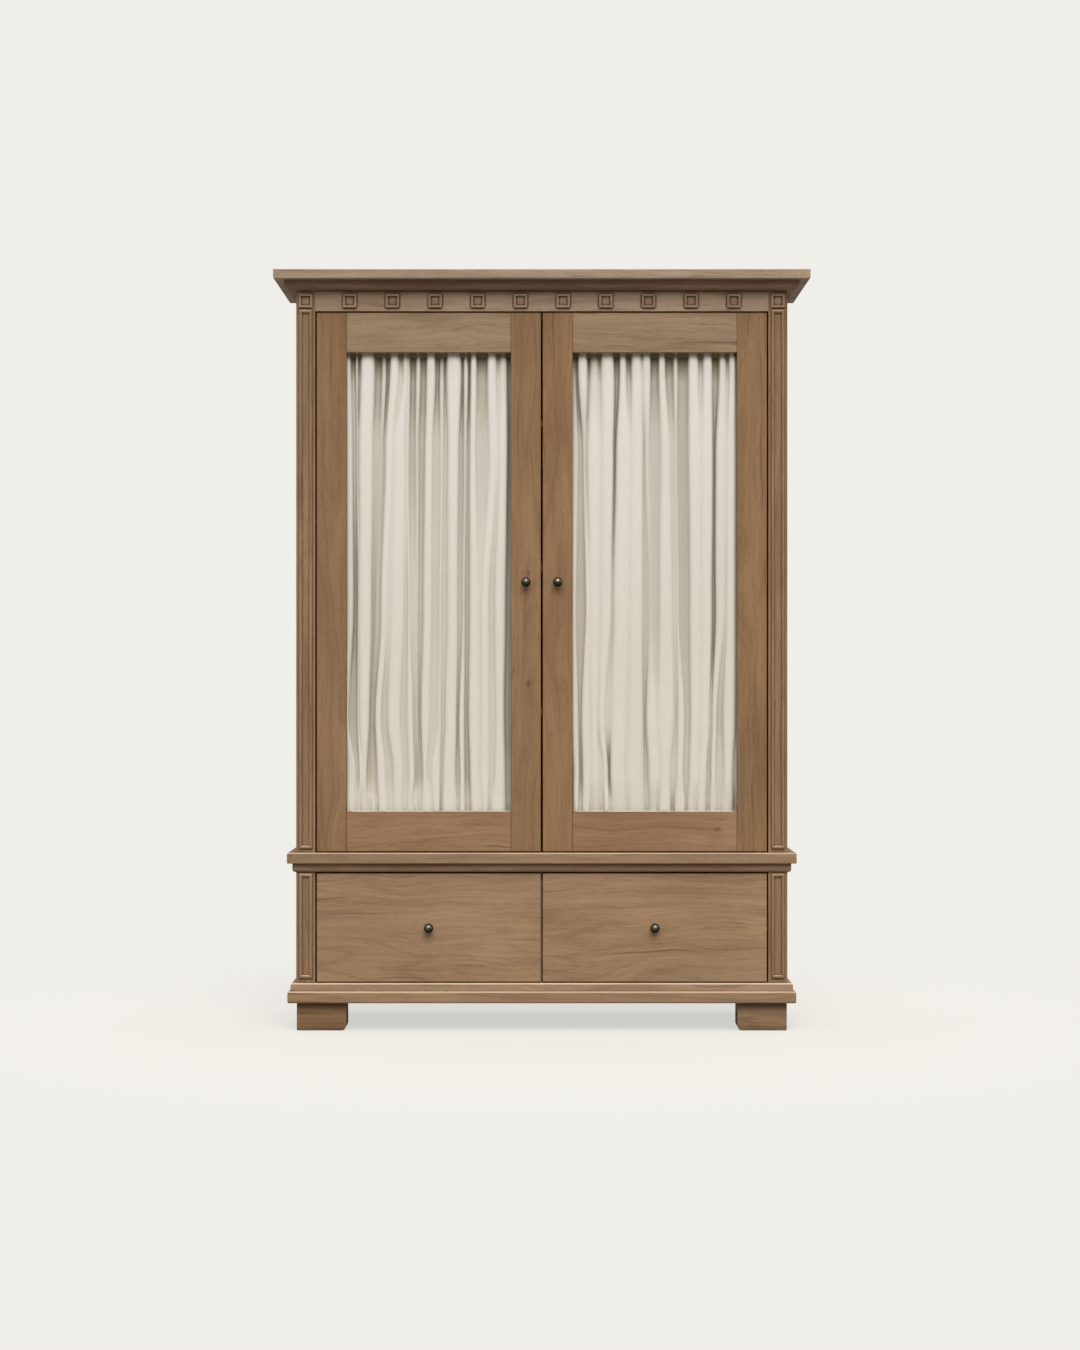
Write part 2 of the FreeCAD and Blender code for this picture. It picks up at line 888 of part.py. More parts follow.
def rail(side, name, low, rebate_low, tenon_low):
    """A door rail with a tenon at each end and a rebate on its inner edge."""
    body = board(
        f"door_{side}_{name}",
        ("light_width", "door_thickness", "rail_width"),
        (across(side, "door_start + stile_width", "light_width"), "face_y", low),
    )
    box(
        body, "Subtractive", "rebate",
        ("light_width", "pocket_depth", "door_rebate"),
        (0, "door_lip", rebate_low),
    )
    box(
        body, "Additive", "tenons",
        ("light_width + 2*tenon_length", "tenon_thickness", "tenon_height"),
        ("-tenon_length", "(door_thickness - tenon_thickness)/2", tenon_low),
    )
    return keep(body)


for side in ("left", "right"):
    # Door frame: two stiles and two rails, 25 mm oak.
    hinge_stile = stile(
        side, "hinge_stile", "door_start", "stile_width - door_rebate", "stile_width - tenon_length",
    )
    pivot_x = across(side, "pivot_inset", 0, "stile_width")
    seat_x = across(side, "pivot_plate_start", "pivot_plate_length", "stile_width")
    plate_local_y = "(door_thickness - pivot_plate_width)/2"
    socket_depth = "(pin_engagement + pin_end_clearance)"
    for end, seat_z, bore_z in (
        ("low", "0", "0"),
        ("top", "door_height - pivot_plate_thickness", f"door_height - {socket_depth}"),
    ):
        box(hinge_stile, "Subtractive", f"{end}_plate_seat", plate_size, (seat_x, plate_local_y, seat_z))
        cylinder(
            hinge_stile, "Subtractive", f"{end}_pin_bore", "pin_radius + seat_clearance",
            socket_depth, (pivot_x, "door_thickness/2", bore_z),
        )
    keep(hinge_stile)

    meeting_stile = stile(side, "meeting_stile", "door_start + door_width - stile_width", "0", "0")
    strike_size = ("catch_length - 2*strike_border", "strike_thickness", "catch_height - 2*strike_border")
    strike_x = across(side, "catch_x + strike_border", "(catch_length - 2*strike_border)")
    strike_y = "face_y + door_thickness - strike_thickness"
    strike_z = "catch_z + strike_border"
    stile_x = across(side, "door_start + door_width - stile_width", "stile_width")
    box(
        meeting_stile, "Subtractive", "strike_seat", strike_size,
        (f"{strike_x} - ({stile_x})", "door_thickness - strike_thickness", f"{strike_z} - door_low"),
    )
    cylinder(
        meeting_stile, "Subtractive", "knob_hole", "knob_spigot_radius", "knob_spigot_length",
        ("stile_width/2", 0, "door_height/2"), "+y",
    )
    keep(meeting_stile)
    rail(side, "bottom_rail", "door_low", "rail_width - door_rebate", "tenon_shoulder")
    rail(
        side, "top_rail", "door_low + door_height - rail_width", 0,
        "rail_width - tenon_shoulder - tenon_height",
    )

    # Steel pivot sockets in the two ends of the hinge stile, and the strike for the catch.
    plates = []
    for end, low in (("low", "door_low"), ("top", "door_low + door_height - pivot_plate_thickness")):
        plate = board(
            f"{end}_socket_{side}", plate_size,
            (across(side, "door_start + pivot_plate_start", "pivot_plate_length"), plate_y, low),
        )
        cylinder(
            plate, "Subtractive", "eye", "pin_radius + pin_clearance", "pivot_plate_thickness",
            (
                across(side, "(pivot_inset - pivot_plate_start)", 0, "pivot_plate_length"),
                "pivot_plate_width/2",
                0,
            ),
        )
        plates.append(plate)
    plates.append(board(f"strike_{side}", strike_size, (strike_x, strike_y, strike_z)))
    group(f"door_{side}_plates", plates)

    # Two curtain rods in the rebate, above and below the light, each in a pair of brass sockets.
    rods = []
    sockets = []
    light_x = across(side, "door_start + stile_width", "light_width")
    for level, rod_z in (
        ("low", "(light_low - rod_rise)"),
        ("top", "(light_low + light_height + rod_rise)"),
    ):
        rod = doc.addObject("Part::Cylinder", f"{level}_rod_{side}")
        bind(rod, "Radius", "rod_radius")
        bind(rod, "Height", "light_width + 2*door_rebate - 2*socket_floor - 2*seat_clearance")
        rod_start = f"{light_x} - door_rebate + socket_floor + seat_clearance"
        place(rod, (rod_start, "rod_y", rod_z), TURNS["+x"])
        rods.append(rod)
        for end, start, bore_start in (
            ("left", f"{light_x} - door_rebate", "socket_floor"),
            ("right", f"{light_x} + light_width + door_rebate - socket_length", "0"),
        ):
            socket = board(
                f"{level}_{end}_socket_{side}",
                ("socket_length", "socket_size", "socket_size"),
                (start, "rod_y - socket_size/2", f"{rod_z} - socket_size/2"),
            )
            cylinder(
                socket, "Subtractive", "bore", "rod_radius + pin_clearance",
                "socket_length - socket_floor", (bore_start, "socket_size/2", "socket_size/2"), "+x",
            )
            sockets.append(socket)
    group(f"door_{side}_curtain_rods", rods)
    group(f"door_{side}_rod_sockets", sockets)

    # Curtain: the space its gathers fill, close behind the light, with a pocket round each rod.
    curtain_inset = "(door_rebate - socket_length - seat_clearance)"
    curtain_height = "(light_height + 2*door_rebate - 2*seat_clearance)"
    curtain_depth = "(pocket_depth - 2*seat_clearance)"
    curtain = new_body(
        f"door_{side}_curtain",
        (
            f"{light_x} - {curtain_inset}",
            "face_y + door_lip + seat_clearance",
            "light_low - door_rebate + seat_clearance",
        ),
    )
    curtain_width = f"light_width + 2*{curtain_inset}"
    pocket_size = "(2*(rod_radius + seat_clearance))"
    pad(curtain, profile(curtain, "YZ_Plane", [
        (0, 0),
        (curtain_depth, 0),
        (curtain_depth, "door_rebate"),
        ("curtain_fullness", "curtain_taper"),
        ("curtain_fullness", f"{curtain_height} - curtain_taper"),
        (curtain_depth, f"{curtain_height} - door_rebate"),
        (curtain_depth, curtain_height),
        (0, curtain_height),
    ]), curtain_width)
    for level, hem_z in (
        ("low", "door_rebate - rod_rise - seat_clearance"),
        ("top", f"{curtain_height} - (door_rebate - rod_rise - seat_clearance)"),
    ):
        box(
            curtain, "Subtractive", f"{level}_pocket", (curtain_width, pocket_size, pocket_size),
            (0, f"({curtain_depth} - {pocket_size})/2", f"{hem_z} - {pocket_size}/2"),
        )
    keep(curtain)

    knob_x = across(side, "door_start + door_width - stile_width/2", 0)
    knob(f"door_{side}_knob", knob_x, "face_y", "door_low + door_height/2")

for side in ("left", "right"):
    # Drawer front, housed for the sides and grooved for the bottom.
    front = board(
        f"drawer_{side}_front",
        ("front_width", "drawer_front_thickness", "front_height"),
        (across(side, "front_start", "front_width"), "face_y", "front_low"),
    )
    ease(
        front, "eased", "board_ease",
        *({axis: edge, "y": "low"} for axis in ("x", "z") for edge in ("low", "high")),
    )
    tongue_y = "drawer_front_thickness - tongue_length"
    for name, start in (
        ("left_housing", "box_inset + box_wall - tongue_thickness"),
        ("right_housing", "front_width - box_inset - box_wall"),
    ):
        box(
            front, "Subtractive", name, ("tongue_thickness", "tongue_length", "box_height"),
            (start, tongue_y, "box_rise"),
        )
    box(
        front, "Subtractive", "bottom_groove",
        ("box_width - 2*box_wall", "groove_depth", "bottom_thickness"),
        ("box_inset + box_wall", "drawer_front_thickness - groove_depth", "box_rise + bottom_rise"),
    )
    cylinder(
        front, "Subtractive", "knob_hole", "knob_spigot_radius", "knob_spigot_length",
        ("front_width/2", 0, "front_height/2"), "+y",
    )
    keep(front)

    # Sides, with the runner's groove outside and the bottom's groove inside.
    box_x = across(side, "box_start", "box_width")
    walls = []
    for end, start, tongue_x, outside_x, inside_x in (
        (
            "left", box_x, "box_wall - tongue_thickness", "0", "box_wall - groove_depth",
        ),
        (
            "right", f"{box_x} + box_width - box_wall", "0", "box_wall - runner_reach", "0",
        ),
    ):
        wall = board(
            f"{end}_wall_{side}", ("box_wall", "box_depth", "box_height"), (start, "box_y", "box_low"),
        )
        box(
            wall, "Additive", "tongue", ("tongue_thickness", "tongue_length", "box_height"),
            (tongue_x, "-tongue_length", 0),
        )
        box(
            wall, "Subtractive", "runner_groove",
            ("runner_reach", "box_depth", "runner_height + 2*seat_clearance"),
            (outside_x, 0, "runner_z - box_low - seat_clearance"),
        )
        box(
            wall, "Subtractive", "bottom_groove",
            ("groove_depth", "box_depth + tongue_length", "bottom_thickness"),
            (inside_x, "-tongue_length", "bottom_rise"),
        )
        walls.append(wall)
    group(f"drawer_{side}_sides", walls)

    # Back above the bottom board, which slides in under it from behind.
    back_low = "(bottom_rise + bottom_thickness)"
    keep(board(
        f"drawer_{side}_back",
        ("box_width - 2*box_wall", "box_wall", f"box_height - {back_low}"),
        (f"{box_x} + box_wall", "box_y + box_depth - box_wall", f"box_low + {back_low}"),
    ))
    floor = board(
        f"drawer_{side}_bottom",
        ("box_width - 2*box_wall + 2*groove_depth", "box_depth", "bottom_thickness"),
        (f"{box_x} + box_wall - groove_depth", "box_y", "floor_low"),
    )
    box(
        floor, "Additive", "front_tongue",
        ("box_width - 2*box_wall", "groove_depth", "bottom_thickness"),
        ("groove_depth", "-groove_depth", 0),
    )
    keep(floor)
    knob_x = across(side, "front_start + front_width/2", 0)
    knob(f"drawer_{side}_knob", knob_x, "face_y", "front_low + front_height/2")

doc.recompute()
failed = [item.Label for item in doc.Objects if {"Invalid", "Error"} & set(item.State)]
if failed:
    raise RuntimeError("features that failed: " + ", ".join(failed))
for node in nodes:
    if node.Shape.isNull() or not node.Shape.isValid() or not node.Shape.Solids:
        raise RuntimeError(f"{node.Label} has no sound solid")

os.makedirs("parts", exist_ok=True)
for node in nodes:
    node.Shape.exportStep(f"parts/{node.Label}.step")
print(len(nodes), "nodes")
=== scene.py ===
import math
import random

import bpy
import numpy as np
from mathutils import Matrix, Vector


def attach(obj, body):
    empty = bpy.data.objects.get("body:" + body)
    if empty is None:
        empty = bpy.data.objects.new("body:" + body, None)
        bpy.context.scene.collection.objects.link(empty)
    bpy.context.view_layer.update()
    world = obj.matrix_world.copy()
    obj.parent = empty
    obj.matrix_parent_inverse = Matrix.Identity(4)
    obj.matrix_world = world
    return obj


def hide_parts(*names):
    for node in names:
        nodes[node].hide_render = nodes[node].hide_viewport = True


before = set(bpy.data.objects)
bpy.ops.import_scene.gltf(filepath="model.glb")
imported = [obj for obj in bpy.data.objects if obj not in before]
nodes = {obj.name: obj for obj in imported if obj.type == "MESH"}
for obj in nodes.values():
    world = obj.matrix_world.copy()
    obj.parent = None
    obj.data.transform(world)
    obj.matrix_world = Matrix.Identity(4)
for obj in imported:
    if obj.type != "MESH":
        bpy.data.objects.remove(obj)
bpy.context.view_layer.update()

# Four feet of solid oak under the corners of the base, their grain across the front, and the
# inner toes of the front pair rounded. Stained a mid brown and waxed, and darkened by painted
# shade where they meet the base.
WAXED_OAK = (0.300, 0.192, 0.112)
OAK_SHADES = {
    "dark": (0.79, 0.74, 0.69),
    "pale": (1.35, 1.37, 1.38),
    "grey": (0.94, 1.01, 1.10),
    "gold": (1.04, 1.06, 0.96),
    "rose": (1.03, 0.96, 0.98),
}
# Pale for worn edges and for the painted highlight on upper edges.
OAK_WORN_AND_LIT = (0.730, 0.560, 0.420)
OAK_PORE = (0.058, 0.026, 0.014)
# Red-brown for the painted shade in corners, recesses and gaps.
OAK_CORNER_SHADE = (0.056, 0.016, 0.004)
# Red-brown for the painted shade along door and drawer edges.
OAK_EDGE_SHADE = (0.150, 0.036, 0.006)
KNOT_BROWN = (0.080, 0.042, 0.024)
# The marks in the grain: how many a metre along, across and through it, how fine, how rough.
OAK_MARKS = {
    "wave": ((0.9, 8.5, 8.5), 1.0, 0.42),
    "fibre": ((7.0, 260.0, 260.0), 3.0, 0.65),
    "streak": ((1.5, 44.0, 44.0), 4.0, 0.6),
    "vein": ((4.5, 118.0, 118.0), 1.5, 0.5),
    "patch": ((3.2, 13.0, 13.0), 3.0, 0.55),
    "cloud": ((1.6, 4.2, 4.2), 2.0, 0.5),
    "warm": ((5.0, 21.0, 21.0), 2.0, 0.5),
    "pore": ((34.0, 900.0, 900.0), 1.0, 0.5),
    "check": ((2.6, 105.0, 105.0), 1.5, 0.4),
}
GRAIN_BEND = ((4.2, 9.0, 9.0), 1.5, 0.45)
BEND_WIDTH = 0.052
SEAM_WIDTH = 0.0009
BOARD_SHIFT = 23.0
# Radii that find the edges: for worn edges, and for edges with painted shade.
RUBBED_EDGE = 0.0022
SHADED_EDGE = 0.00286
# How far the painted shade spreads from a corner, the openness where it starts and ends, and its share.
CORNER_SHADE = (0.0045, 0.20, 0.90, 0.90)
# The feet's painted shade reaches further up, under the base.
FOOT_SHADE = (0.030, 0.20, 0.90, 0.76)
FOOT_EASE = 0.0012
# Which way a board's length, width and thickness lie, as places in x, y and z.
BOARD_WAYS = {"x": (0, 2, 1), "y": (1, 2, 0), "z": (2, 0, 1), "side": (2, 1, 0), "flat": (0, 1, 2)}


def add(tree, kind, inputs=(), **settings):
    """Adds one shader node, with its inputs linked or set, and gives it back."""
    made = tree.nodes.new("ShaderNode" + kind)
    for name, value in settings.items():
        setattr(made, name, value)
    for socket, value in dict(inputs).items():
        if isinstance(value, bpy.types.NodeSocket):
            tree.links.new(value, made.inputs[socket])
        else:
            made.inputs[socket].default_value = value
    return made


def maths(tree, operation, *values):
    """One sum on numbers, such as ADD or FLOOR."""
    made = add(tree, "Math", dict(enumerate(values)), operation=operation)
    return made.outputs[0]


def between(tree, value, low, high, new_low=0.0, new_high=1.0):
    """Stretches a value from low..high to new_low..new_high and stops it there."""
    inputs = {0: value, 1: low, 2: high, 3: new_low, 4: new_high}
    return add(tree, "MapRange", inputs, clamp=True).outputs[0]


def tinted(tree, share, first, second):
    """Mixes two colours, given as sockets or as three numbers."""
    first, second = (
        (*colour, 1.0) if isinstance(colour, tuple) else colour
        for colour in (first, second)
    )
    inputs = {0: share, 6: first, 7: second}
    return add(tree, "Mix", inputs, data_type="RGBA").outputs[2]


def streaked(tree, vector, scale, detail=2.0, roughness=0.5):
    """Noise drawn out along the grain: scale is per metre along, across and through."""
    drawn = add(tree, "VectorMath", {0: vector, 1: scale}, operation="MULTIPLY")
    inputs = {"Vector": drawn.outputs[0], "Scale": 1.0, "Detail": detail, "Roughness": roughness}
    return add(tree, "TexNoise", inputs, noise_dimensions="3D").outputs[0]


def new_material(name):
    """A fresh material, with its node tree and its surface."""
    material = bpy.data.materials.new(name)
    material.use_nodes = True
    tree = material.node_tree
    return material, tree, tree.nodes["Principled BSDF"]


def board_lines(tree, place, along, mitre):
    """How far along, across and through its board each point of a piece lies."""
    parts = add(tree, "SeparateXYZ", {0: place}).outputs
    run, width, depth = (parts[i] for i in BOARD_WAYS[along])
    if mitre:
        # Past the mitre the length runs front to back.
        side, front = mitre
        reach = maths(tree, "SUBTRACT", side, maths(tree, "ABSOLUTE", parts[0]))
        back = maths(tree, "SUBTRACT", parts[1], front)
        turned = maths(tree, "LESS_THAN", reach, back)
        swing = maths(tree, "MULTIPLY", turned, maths(tree, "SUBTRACT", parts[1], parts[0]))
        run = maths(tree, "ADD", parts[0], swing)
        depth = maths(tree, "SUBTRACT", parts[1], swing)
    return run, width, depth


def glued_boards(tree, run, width, board, start, seed):
    """Cuts a width into boards, each from another part of the tree, with a seam between two."""
    count = maths(tree, "DIVIDE", maths(tree, "SUBTRACT", width, start), board)
    index = maths(tree, "ADD", maths(tree, "FLOOR", count), seed)
    dice = add(tree, "TexWhiteNoise", {"W": index}, noise_dimensions="1D").outputs[0]
    run = maths(tree, "ADD", run, maths(tree, "MULTIPLY", dice, BOARD_SHIFT))
    edge = maths(tree, "PINGPONG", count, 0.5)
    return run, dice, between(tree, edge, 0.0, SEAM_WIDTH / board, 1.0, 0.0)


def round_knots(tree, place, along, width, knots):
    """Pushes the grain round each knot, and gives the dark of the knots with it."""
    length, _, thickness = BOARD_WAYS[along]
    squeeze = [1.0, 1.0, 1.0]
    squeeze[length] = 0.55
    squeeze[thickness] = 0.4
    core = 0.0
    for at, size, strength in knots:
        away = add(tree, "VectorMath", {0: place, 1: at}, operation="SUBTRACT").outputs[0]
        away = add(tree, "VectorMath", {0: away, 1: squeeze}, operation="MULTIPLY").outputs[0]
        far = add(tree, "VectorMath", {0: away}, operation="LENGTH").outputs["Value"]
        width = maths(tree, "ADD", width, between(tree, far, 0.0, size * 4, size * 1.2, 0.0))
        core = maths(tree, "ADD", core, between(tree, far, size * 0.25, size, strength, 0.0))
    return width, core


def growth_lines(tree, wave, pace, sharpness):
    """Lines where a slow wave crosses even steps, as the year rings do in a sawn board."""
    steps = maths(tree, "PINGPONG", maths(tree, "MULTIPLY", wave, pace), 1.0)
    return maths(tree, "POWER", steps, sharpness)


def wear_shade_and_highlight(tree, colour, streak, corner_shade, wear_and_highlight):
    """Painted shade in the corners; edges worn pale with a painted highlight on top or, without wear,
    dark with painted shade.
    """
    reach, low, high, share = corner_shade
    # Painted shade darkens corners, recesses and the sides of gaps, by how shut in a point is.
    shut = add(tree, "AmbientOcclusion", {"Distance": reach}, samples=6).outputs["AO"]
    colour = tinted(tree, between(tree, shut, low, high, share, 0.0), colour, OAK_CORNER_SHADE)
    radius = RUBBED_EDGE if wear_and_highlight else SHADED_EDGE
    eased = add(tree, "Bevel", {"Radius": radius}, samples=4).outputs[0]
    flat = add(tree, "NewGeometry").outputs["Normal"]
    turn = add(tree, "VectorMath", {0: eased, 1: flat}, operation="DOT_PRODUCT").outputs["Value"]
    # Without wear, the edges get painted shade, like the shaded gaps beside them.
    if not wear_and_highlight:
        return tinted(tree, between(tree, turn, 0.84, 0.9995, 0.97, 0.0), colour, OAK_EDGE_SHADE)
    worn = maths(tree, "MULTIPLY", between(tree, turn, 0.80, 0.998, 0.50, 0.0), shut)
    worn = maths(tree, "MULTIPLY", worn, between(tree, streak, 0.35, 0.62, 0.45, 1.0))
    # A painted highlight makes an upper edge palest, all along its rounding.
    up = add(tree, "SeparateXYZ", {0: flat}).outputs[2]
    painted_highlight = between(tree, up, 0.25, 0.70, 0.0, wear_and_highlight)
    painted_highlight = maths(tree, "MULTIPLY", painted_highlight, between(tree, up, 0.93, 0.99, 1.0, 0.0))
    painted_highlight = maths(tree, "MULTIPLY", painted_highlight, between(tree, streak, 0.35, 0.55, 0.75, 1.0))
    return tinted(tree, maths(tree, "ADD", worn, painted_highlight), colour, OAK_WORN_AND_LIT)


def oak(name, along="x", light=WAXED_OAK, board=None, start=0.0, mitre=None, knots=(),
        corner_shade=CORNER_SHADE, wear_and_highlight=0.80):
    """Waxed oak in its own length of grain, which is drawn by the material's name.

    board is the width of glued-up boards and start the edge of the first; mitre is the outer
    corner of a mitred run; wear_and_highlight is how pale the upper edges are, worn and with
    a painted highlight, or 0 for edges dark with painted shade.
    """
    material, tree, surface = new_material(name)
    chance = random.Random(name)
    place = add(tree, "TexCoord").outputs["Object"]
    run, width, depth = board_lines(tree, place, along, mitre)
    run = maths(tree, "ADD", run, chance.uniform(-9, 9))
    depth = maths(tree, "ADD", depth, chance.uniform(-9, 9))
    seam, board_tone = 0.0, 0.5
    if board:
        run, board_tone, seam = glued_boards(tree, run, width, board, start, chance.uniform(0, 50))
    width, core = round_knots(tree, place, along, width, knots)
    grain = add(tree, "CombineXYZ", {0: run, 1: width, 2: depth}).outputs[0]
    width = maths(tree, "MULTIPLY_ADD", streaked(tree, grain, *GRAIN_BEND), BEND_WIDTH, width)
    grain = add(tree, "CombineXYZ", {0: run, 1: width, 2: depth}).outputs[0]
    mark = {word: streaked(tree, grain, *size) for word, size in OAK_MARKS.items()}
    ring = growth_lines(tree, mark["wave"], 52.0, 2.4)
    year = growth_lines(tree, mark["wave"], 20.0, 4.0)
    pore = between(tree, mark["pore"], 0.60, 0.70)
    check = between(tree, mark["check"], 0.675, 0.75)
    tone = -0.06
    for part, weight in (
        (between(tree, mark["streak"], 0.3, 0.7), 0.40),
        (between(tree, mark["vein"], 0.36, 0.64, -0.5, 0.5), 0.30),
        (between(tree, mark["fibre"], 0.3, 0.7), 0.26),
        (between(tree, mark["patch"], 0.36, 0.64), 0.52),
        (ring, -0.18),
        (year, maths(tree, "MULTIPLY", between(tree, mark["cloud"], 0.36, 0.56), -0.50)),
        (board_tone, 0.16),
    ):
        tone = maths(tree, "MULTIPLY_ADD", part, weight, tone)
    shade = {
        word: tuple(c * k for c, k in zip(light, change)) for word, change in OAK_SHADES.items()
    }
    colour = tinted(tree, tone, shade["dark"], shade["pale"])
    hue = tinted(tree, between(tree, mark["warm"], 0.38, 0.62), shade["gold"], shade["rose"])
    colour = tinted(tree, 0.30, colour, hue)
    colour = tinted(tree, between(tree, mark["cloud"], 0.44, 0.66, 0.0, 0.40), colour, shade["grey"])
    for part, weight, dark in (
        (pore, 0.34, OAK_PORE), (check, 0.38, OAK_PORE), (core, 0.72, KNOT_BROWN)
    ):
        colour = tinted(tree, maths(tree, "MULTIPLY", part, weight), colour, dark)
    colour = wear_shade_and_highlight(tree, colour, mark["streak"], corner_shade, wear_and_highlight)
    colour = tinted(tree, maths(tree, "MULTIPLY", seam, 0.55), colour, OAK_PORE)
    height = maths(tree, "MULTIPLY", ring, 0.25)
    for part, rise in ((mark["fibre"], 0.5), (pore, -0.6), (check, -1.0), (seam, -1.5)):
        height = maths(tree, "MULTIPLY_ADD", part, rise, height)
    bump = add(tree, "Bump", {"Strength": 0.35, "Distance": 0.0005, "Height": height})
    tree.links.new(colour, surface.inputs["Base Color"])
    tree.links.new(between(tree, tone, 0.2, 0.9, 0.72, 0.60), surface.inputs["Roughness"])
    tree.links.new(bump.outputs[0], surface.inputs["Normal"])
    surface.inputs["Specular IOR Level"].default_value = 0.05
    return material


def finish(name, material, ease=0.0):
    """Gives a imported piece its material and, where asked, takes off its sharp edges."""
    piece = nodes[name]
    piece.data.materials.clear()
    piece.data.materials.append(material)
    if ease:
        weld = piece.modifiers.new("one_skin", "WELD")
        weld.merge_threshold = 0.00002
        edge = piece.modifiers.new("eased_edges", "BEVEL")
        edge.width = ease
        edge.segments = 2
        edge.limit_method = "ANGLE"
        edge.angle_limit = math.radians(50)
        edge.use_clamp_overlap = True


for corner, light in (
    ("front_left", (0.226, 0.134, 0.076)),
    ("front_right", (0.268, 0.172, 0.102)),
    ("rear_left", (0.232, 0.136, 0.075)),
    ("rear_right", (0.232, 0.136, 0.075)),
):
    foot = "foot_" + corner
    finish(foot, oak("oak_" + foot, "x", light, corner_shade=FOOT_SHADE), FOOT_EASE)

# The base is a thick oak board with an eased edge. The plinth moulding stands on it in three
# lengths, mitred at the front corners. Both upper edges are worn pale and carry a painted highlight.
BASE_OAK = (0.305, 0.198, 0.117)
PLINTH_OAK = (0.340, 0.228, 0.145)


def extent(name):
    """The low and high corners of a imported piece, in metres."""
    piece = nodes[name]
    corners = np.array([piece.matrix_world @ Vector(corner) for corner in piece.bound_box])
    return corners.min(axis=0), corners.max(axis=0)


def front_corner(name):
    """Where a mitred run turns: how far out to the side, and how far forward."""
    low, high = extent(name)
    return float(high[0]), float(low[1])


plinth_corner = front_corner("plinth_moulding")
finish("base_board", oak("oak_base_board", "x", BASE_OAK, wear_and_highlight=0.9))
finish("plinth_moulding", oak("oak_plinth", "x", PLINTH_OAK, mitre=plinth_corner, wear_and_highlight=1.0))

# The carcass of both cases: corner posts at the front, sides and backs of oak boards between
# them, and in the lower case the rails, the bottom, the divider and the drawers' runners.
# Outside it is waxed; the pieces that show only behind a door or a drawer are dry and pale.
POST_OAK = (0.270, 0.170, 0.099)
DRY_OAK = (0.440, 0.315, 0.200)
DRY_EASE = 0.0006
SIDE_BOARD = 0.109
SIDE_START = -0.1665
BOTTOM_BOARD = 0.118
DIVIDER_BOARD = 0.135
BACK_BOARDS = 12
for side in ("left", "right"):
    for level in ("lower", "upper"):
        post, panel = f"{level}_post_{side}", f"{level}_side_{side}"
        finish(post, oak("oak_" + post, "z", POST_OAK))
        finish(panel, oak("oak_" + panel, "side", board=SIDE_BOARD, start=SIDE_START))
finish("lower_top_rails", oak("oak_lower_rails", "x"), DRY_EASE)
for inner, along, board in (
    ("case_bottom", "flat", BOTTOM_BOARD),
    ("drawer_divider", "y", DIVIDER_BOARD),
    ("drawer_runners", "y", None),
):
    finish(inner, oak("dry_" + inner, along, DRY_OAK, board), DRY_EASE)
for back in ("lower_back", "upper_back"):
    low, high = extent(back)
    board = float(high[0] - low[0]) / BACK_BOARDS
    finish(back, oak("dry_" + back, "z", DRY_OAK, board, float(low[0])), DRY_EASE)

# The waist covers the joint between the two cases: an ovolo in three mitred lengths, painted
# darker as shade from the board above it, and the thick waist board itself.
WAIST_OVOLO_SHADED_OAK = (0.250, 0.158, 0.094)
WAIST_OAK = (0.301, 0.198, 0.122)
waist_corner = front_corner("waist_moulding")
finish("waist_moulding", oak("oak_waist_moulding", "x", WAIST_OVOLO_SHADED_OAK, mitre=waist_corner))
finish("waist_board", oak("oak_waist_board", "x", WAIST_OAK))

# The upper case: the frieze rail with its sunk blocks, the beaded frames planted on the posts,
# and inside, the stop rail for the doors, the loose shelves and their cleats of dry oak.
# The frieze is painted paler than the rest, as painted light against the crown's shade.
FRIEZE_OAK_PAINTED_LIGHT = (0.376, 0.270, 0.186)
BLOCK_OAK = (0.330, 0.218, 0.147)
BEAD_OAK = (0.276, 0.172, 0.100)
# Stronger painted shade in the blocks' sinkings and along the beads.
CARVED_SHADE = (0.006, 0.62, 0.99, 0.95)
BEAD_SHADE = (0.006, 0.55, 0.98, 0.90)
BLOCK_EASE = 0.0009
SHELF_BOARD = 0.126
finish("frieze_rail", oak("oak_frieze_rail", "x", FRIEZE_OAK_PAINTED_LIGHT, corner_shade=CARVED_SHADE), DRY_EASE)
finish("frieze_blocks", oak("oak_frieze_blocks", "x", BLOCK_OAK, corner_shade=CARVED_SHADE), BLOCK_EASE)
finish("post_frames", oak("oak_post_frames", "z", BEAD_OAK, corner_shade=BEAD_SHADE))
for inner, along, board in (
    ("door_stop_rail", "x", None),
    ("shelves", "flat", SHELF_BOARD),
    ("shelf_cleats", "y", None),
):
    finish(inner, oak("dry_" + inner, along, DRY_OAK, board), DRY_EASE)

# The crown: an ovolo in three mitred lengths, and on it a plain thick top, glued up from
# boards. The first board is reckoned from a little in front, so that no seam meets the edge.
# The crown's ovolo is painted darker, as shade from the top above it.
CROWN_OVOLO_SHADED_OAK = (0.235, 0.150, 0.100)
CROWN_OAK = (0.360, 0.272, 0.198)
CROWN_BOARD = 0.134
CROWN_START = -0.2885
crown_corner = front_corner("crown_moulding")
finish("crown_moulding", oak("oak_crown_moulding", "x", CROWN_OVOLO_SHADED_OAK, mitre=crown_corner))
finish("crown_board", oak("oak_crown_board", "flat", CROWN_OAK, CROWN_BOARD, CROWN_START))

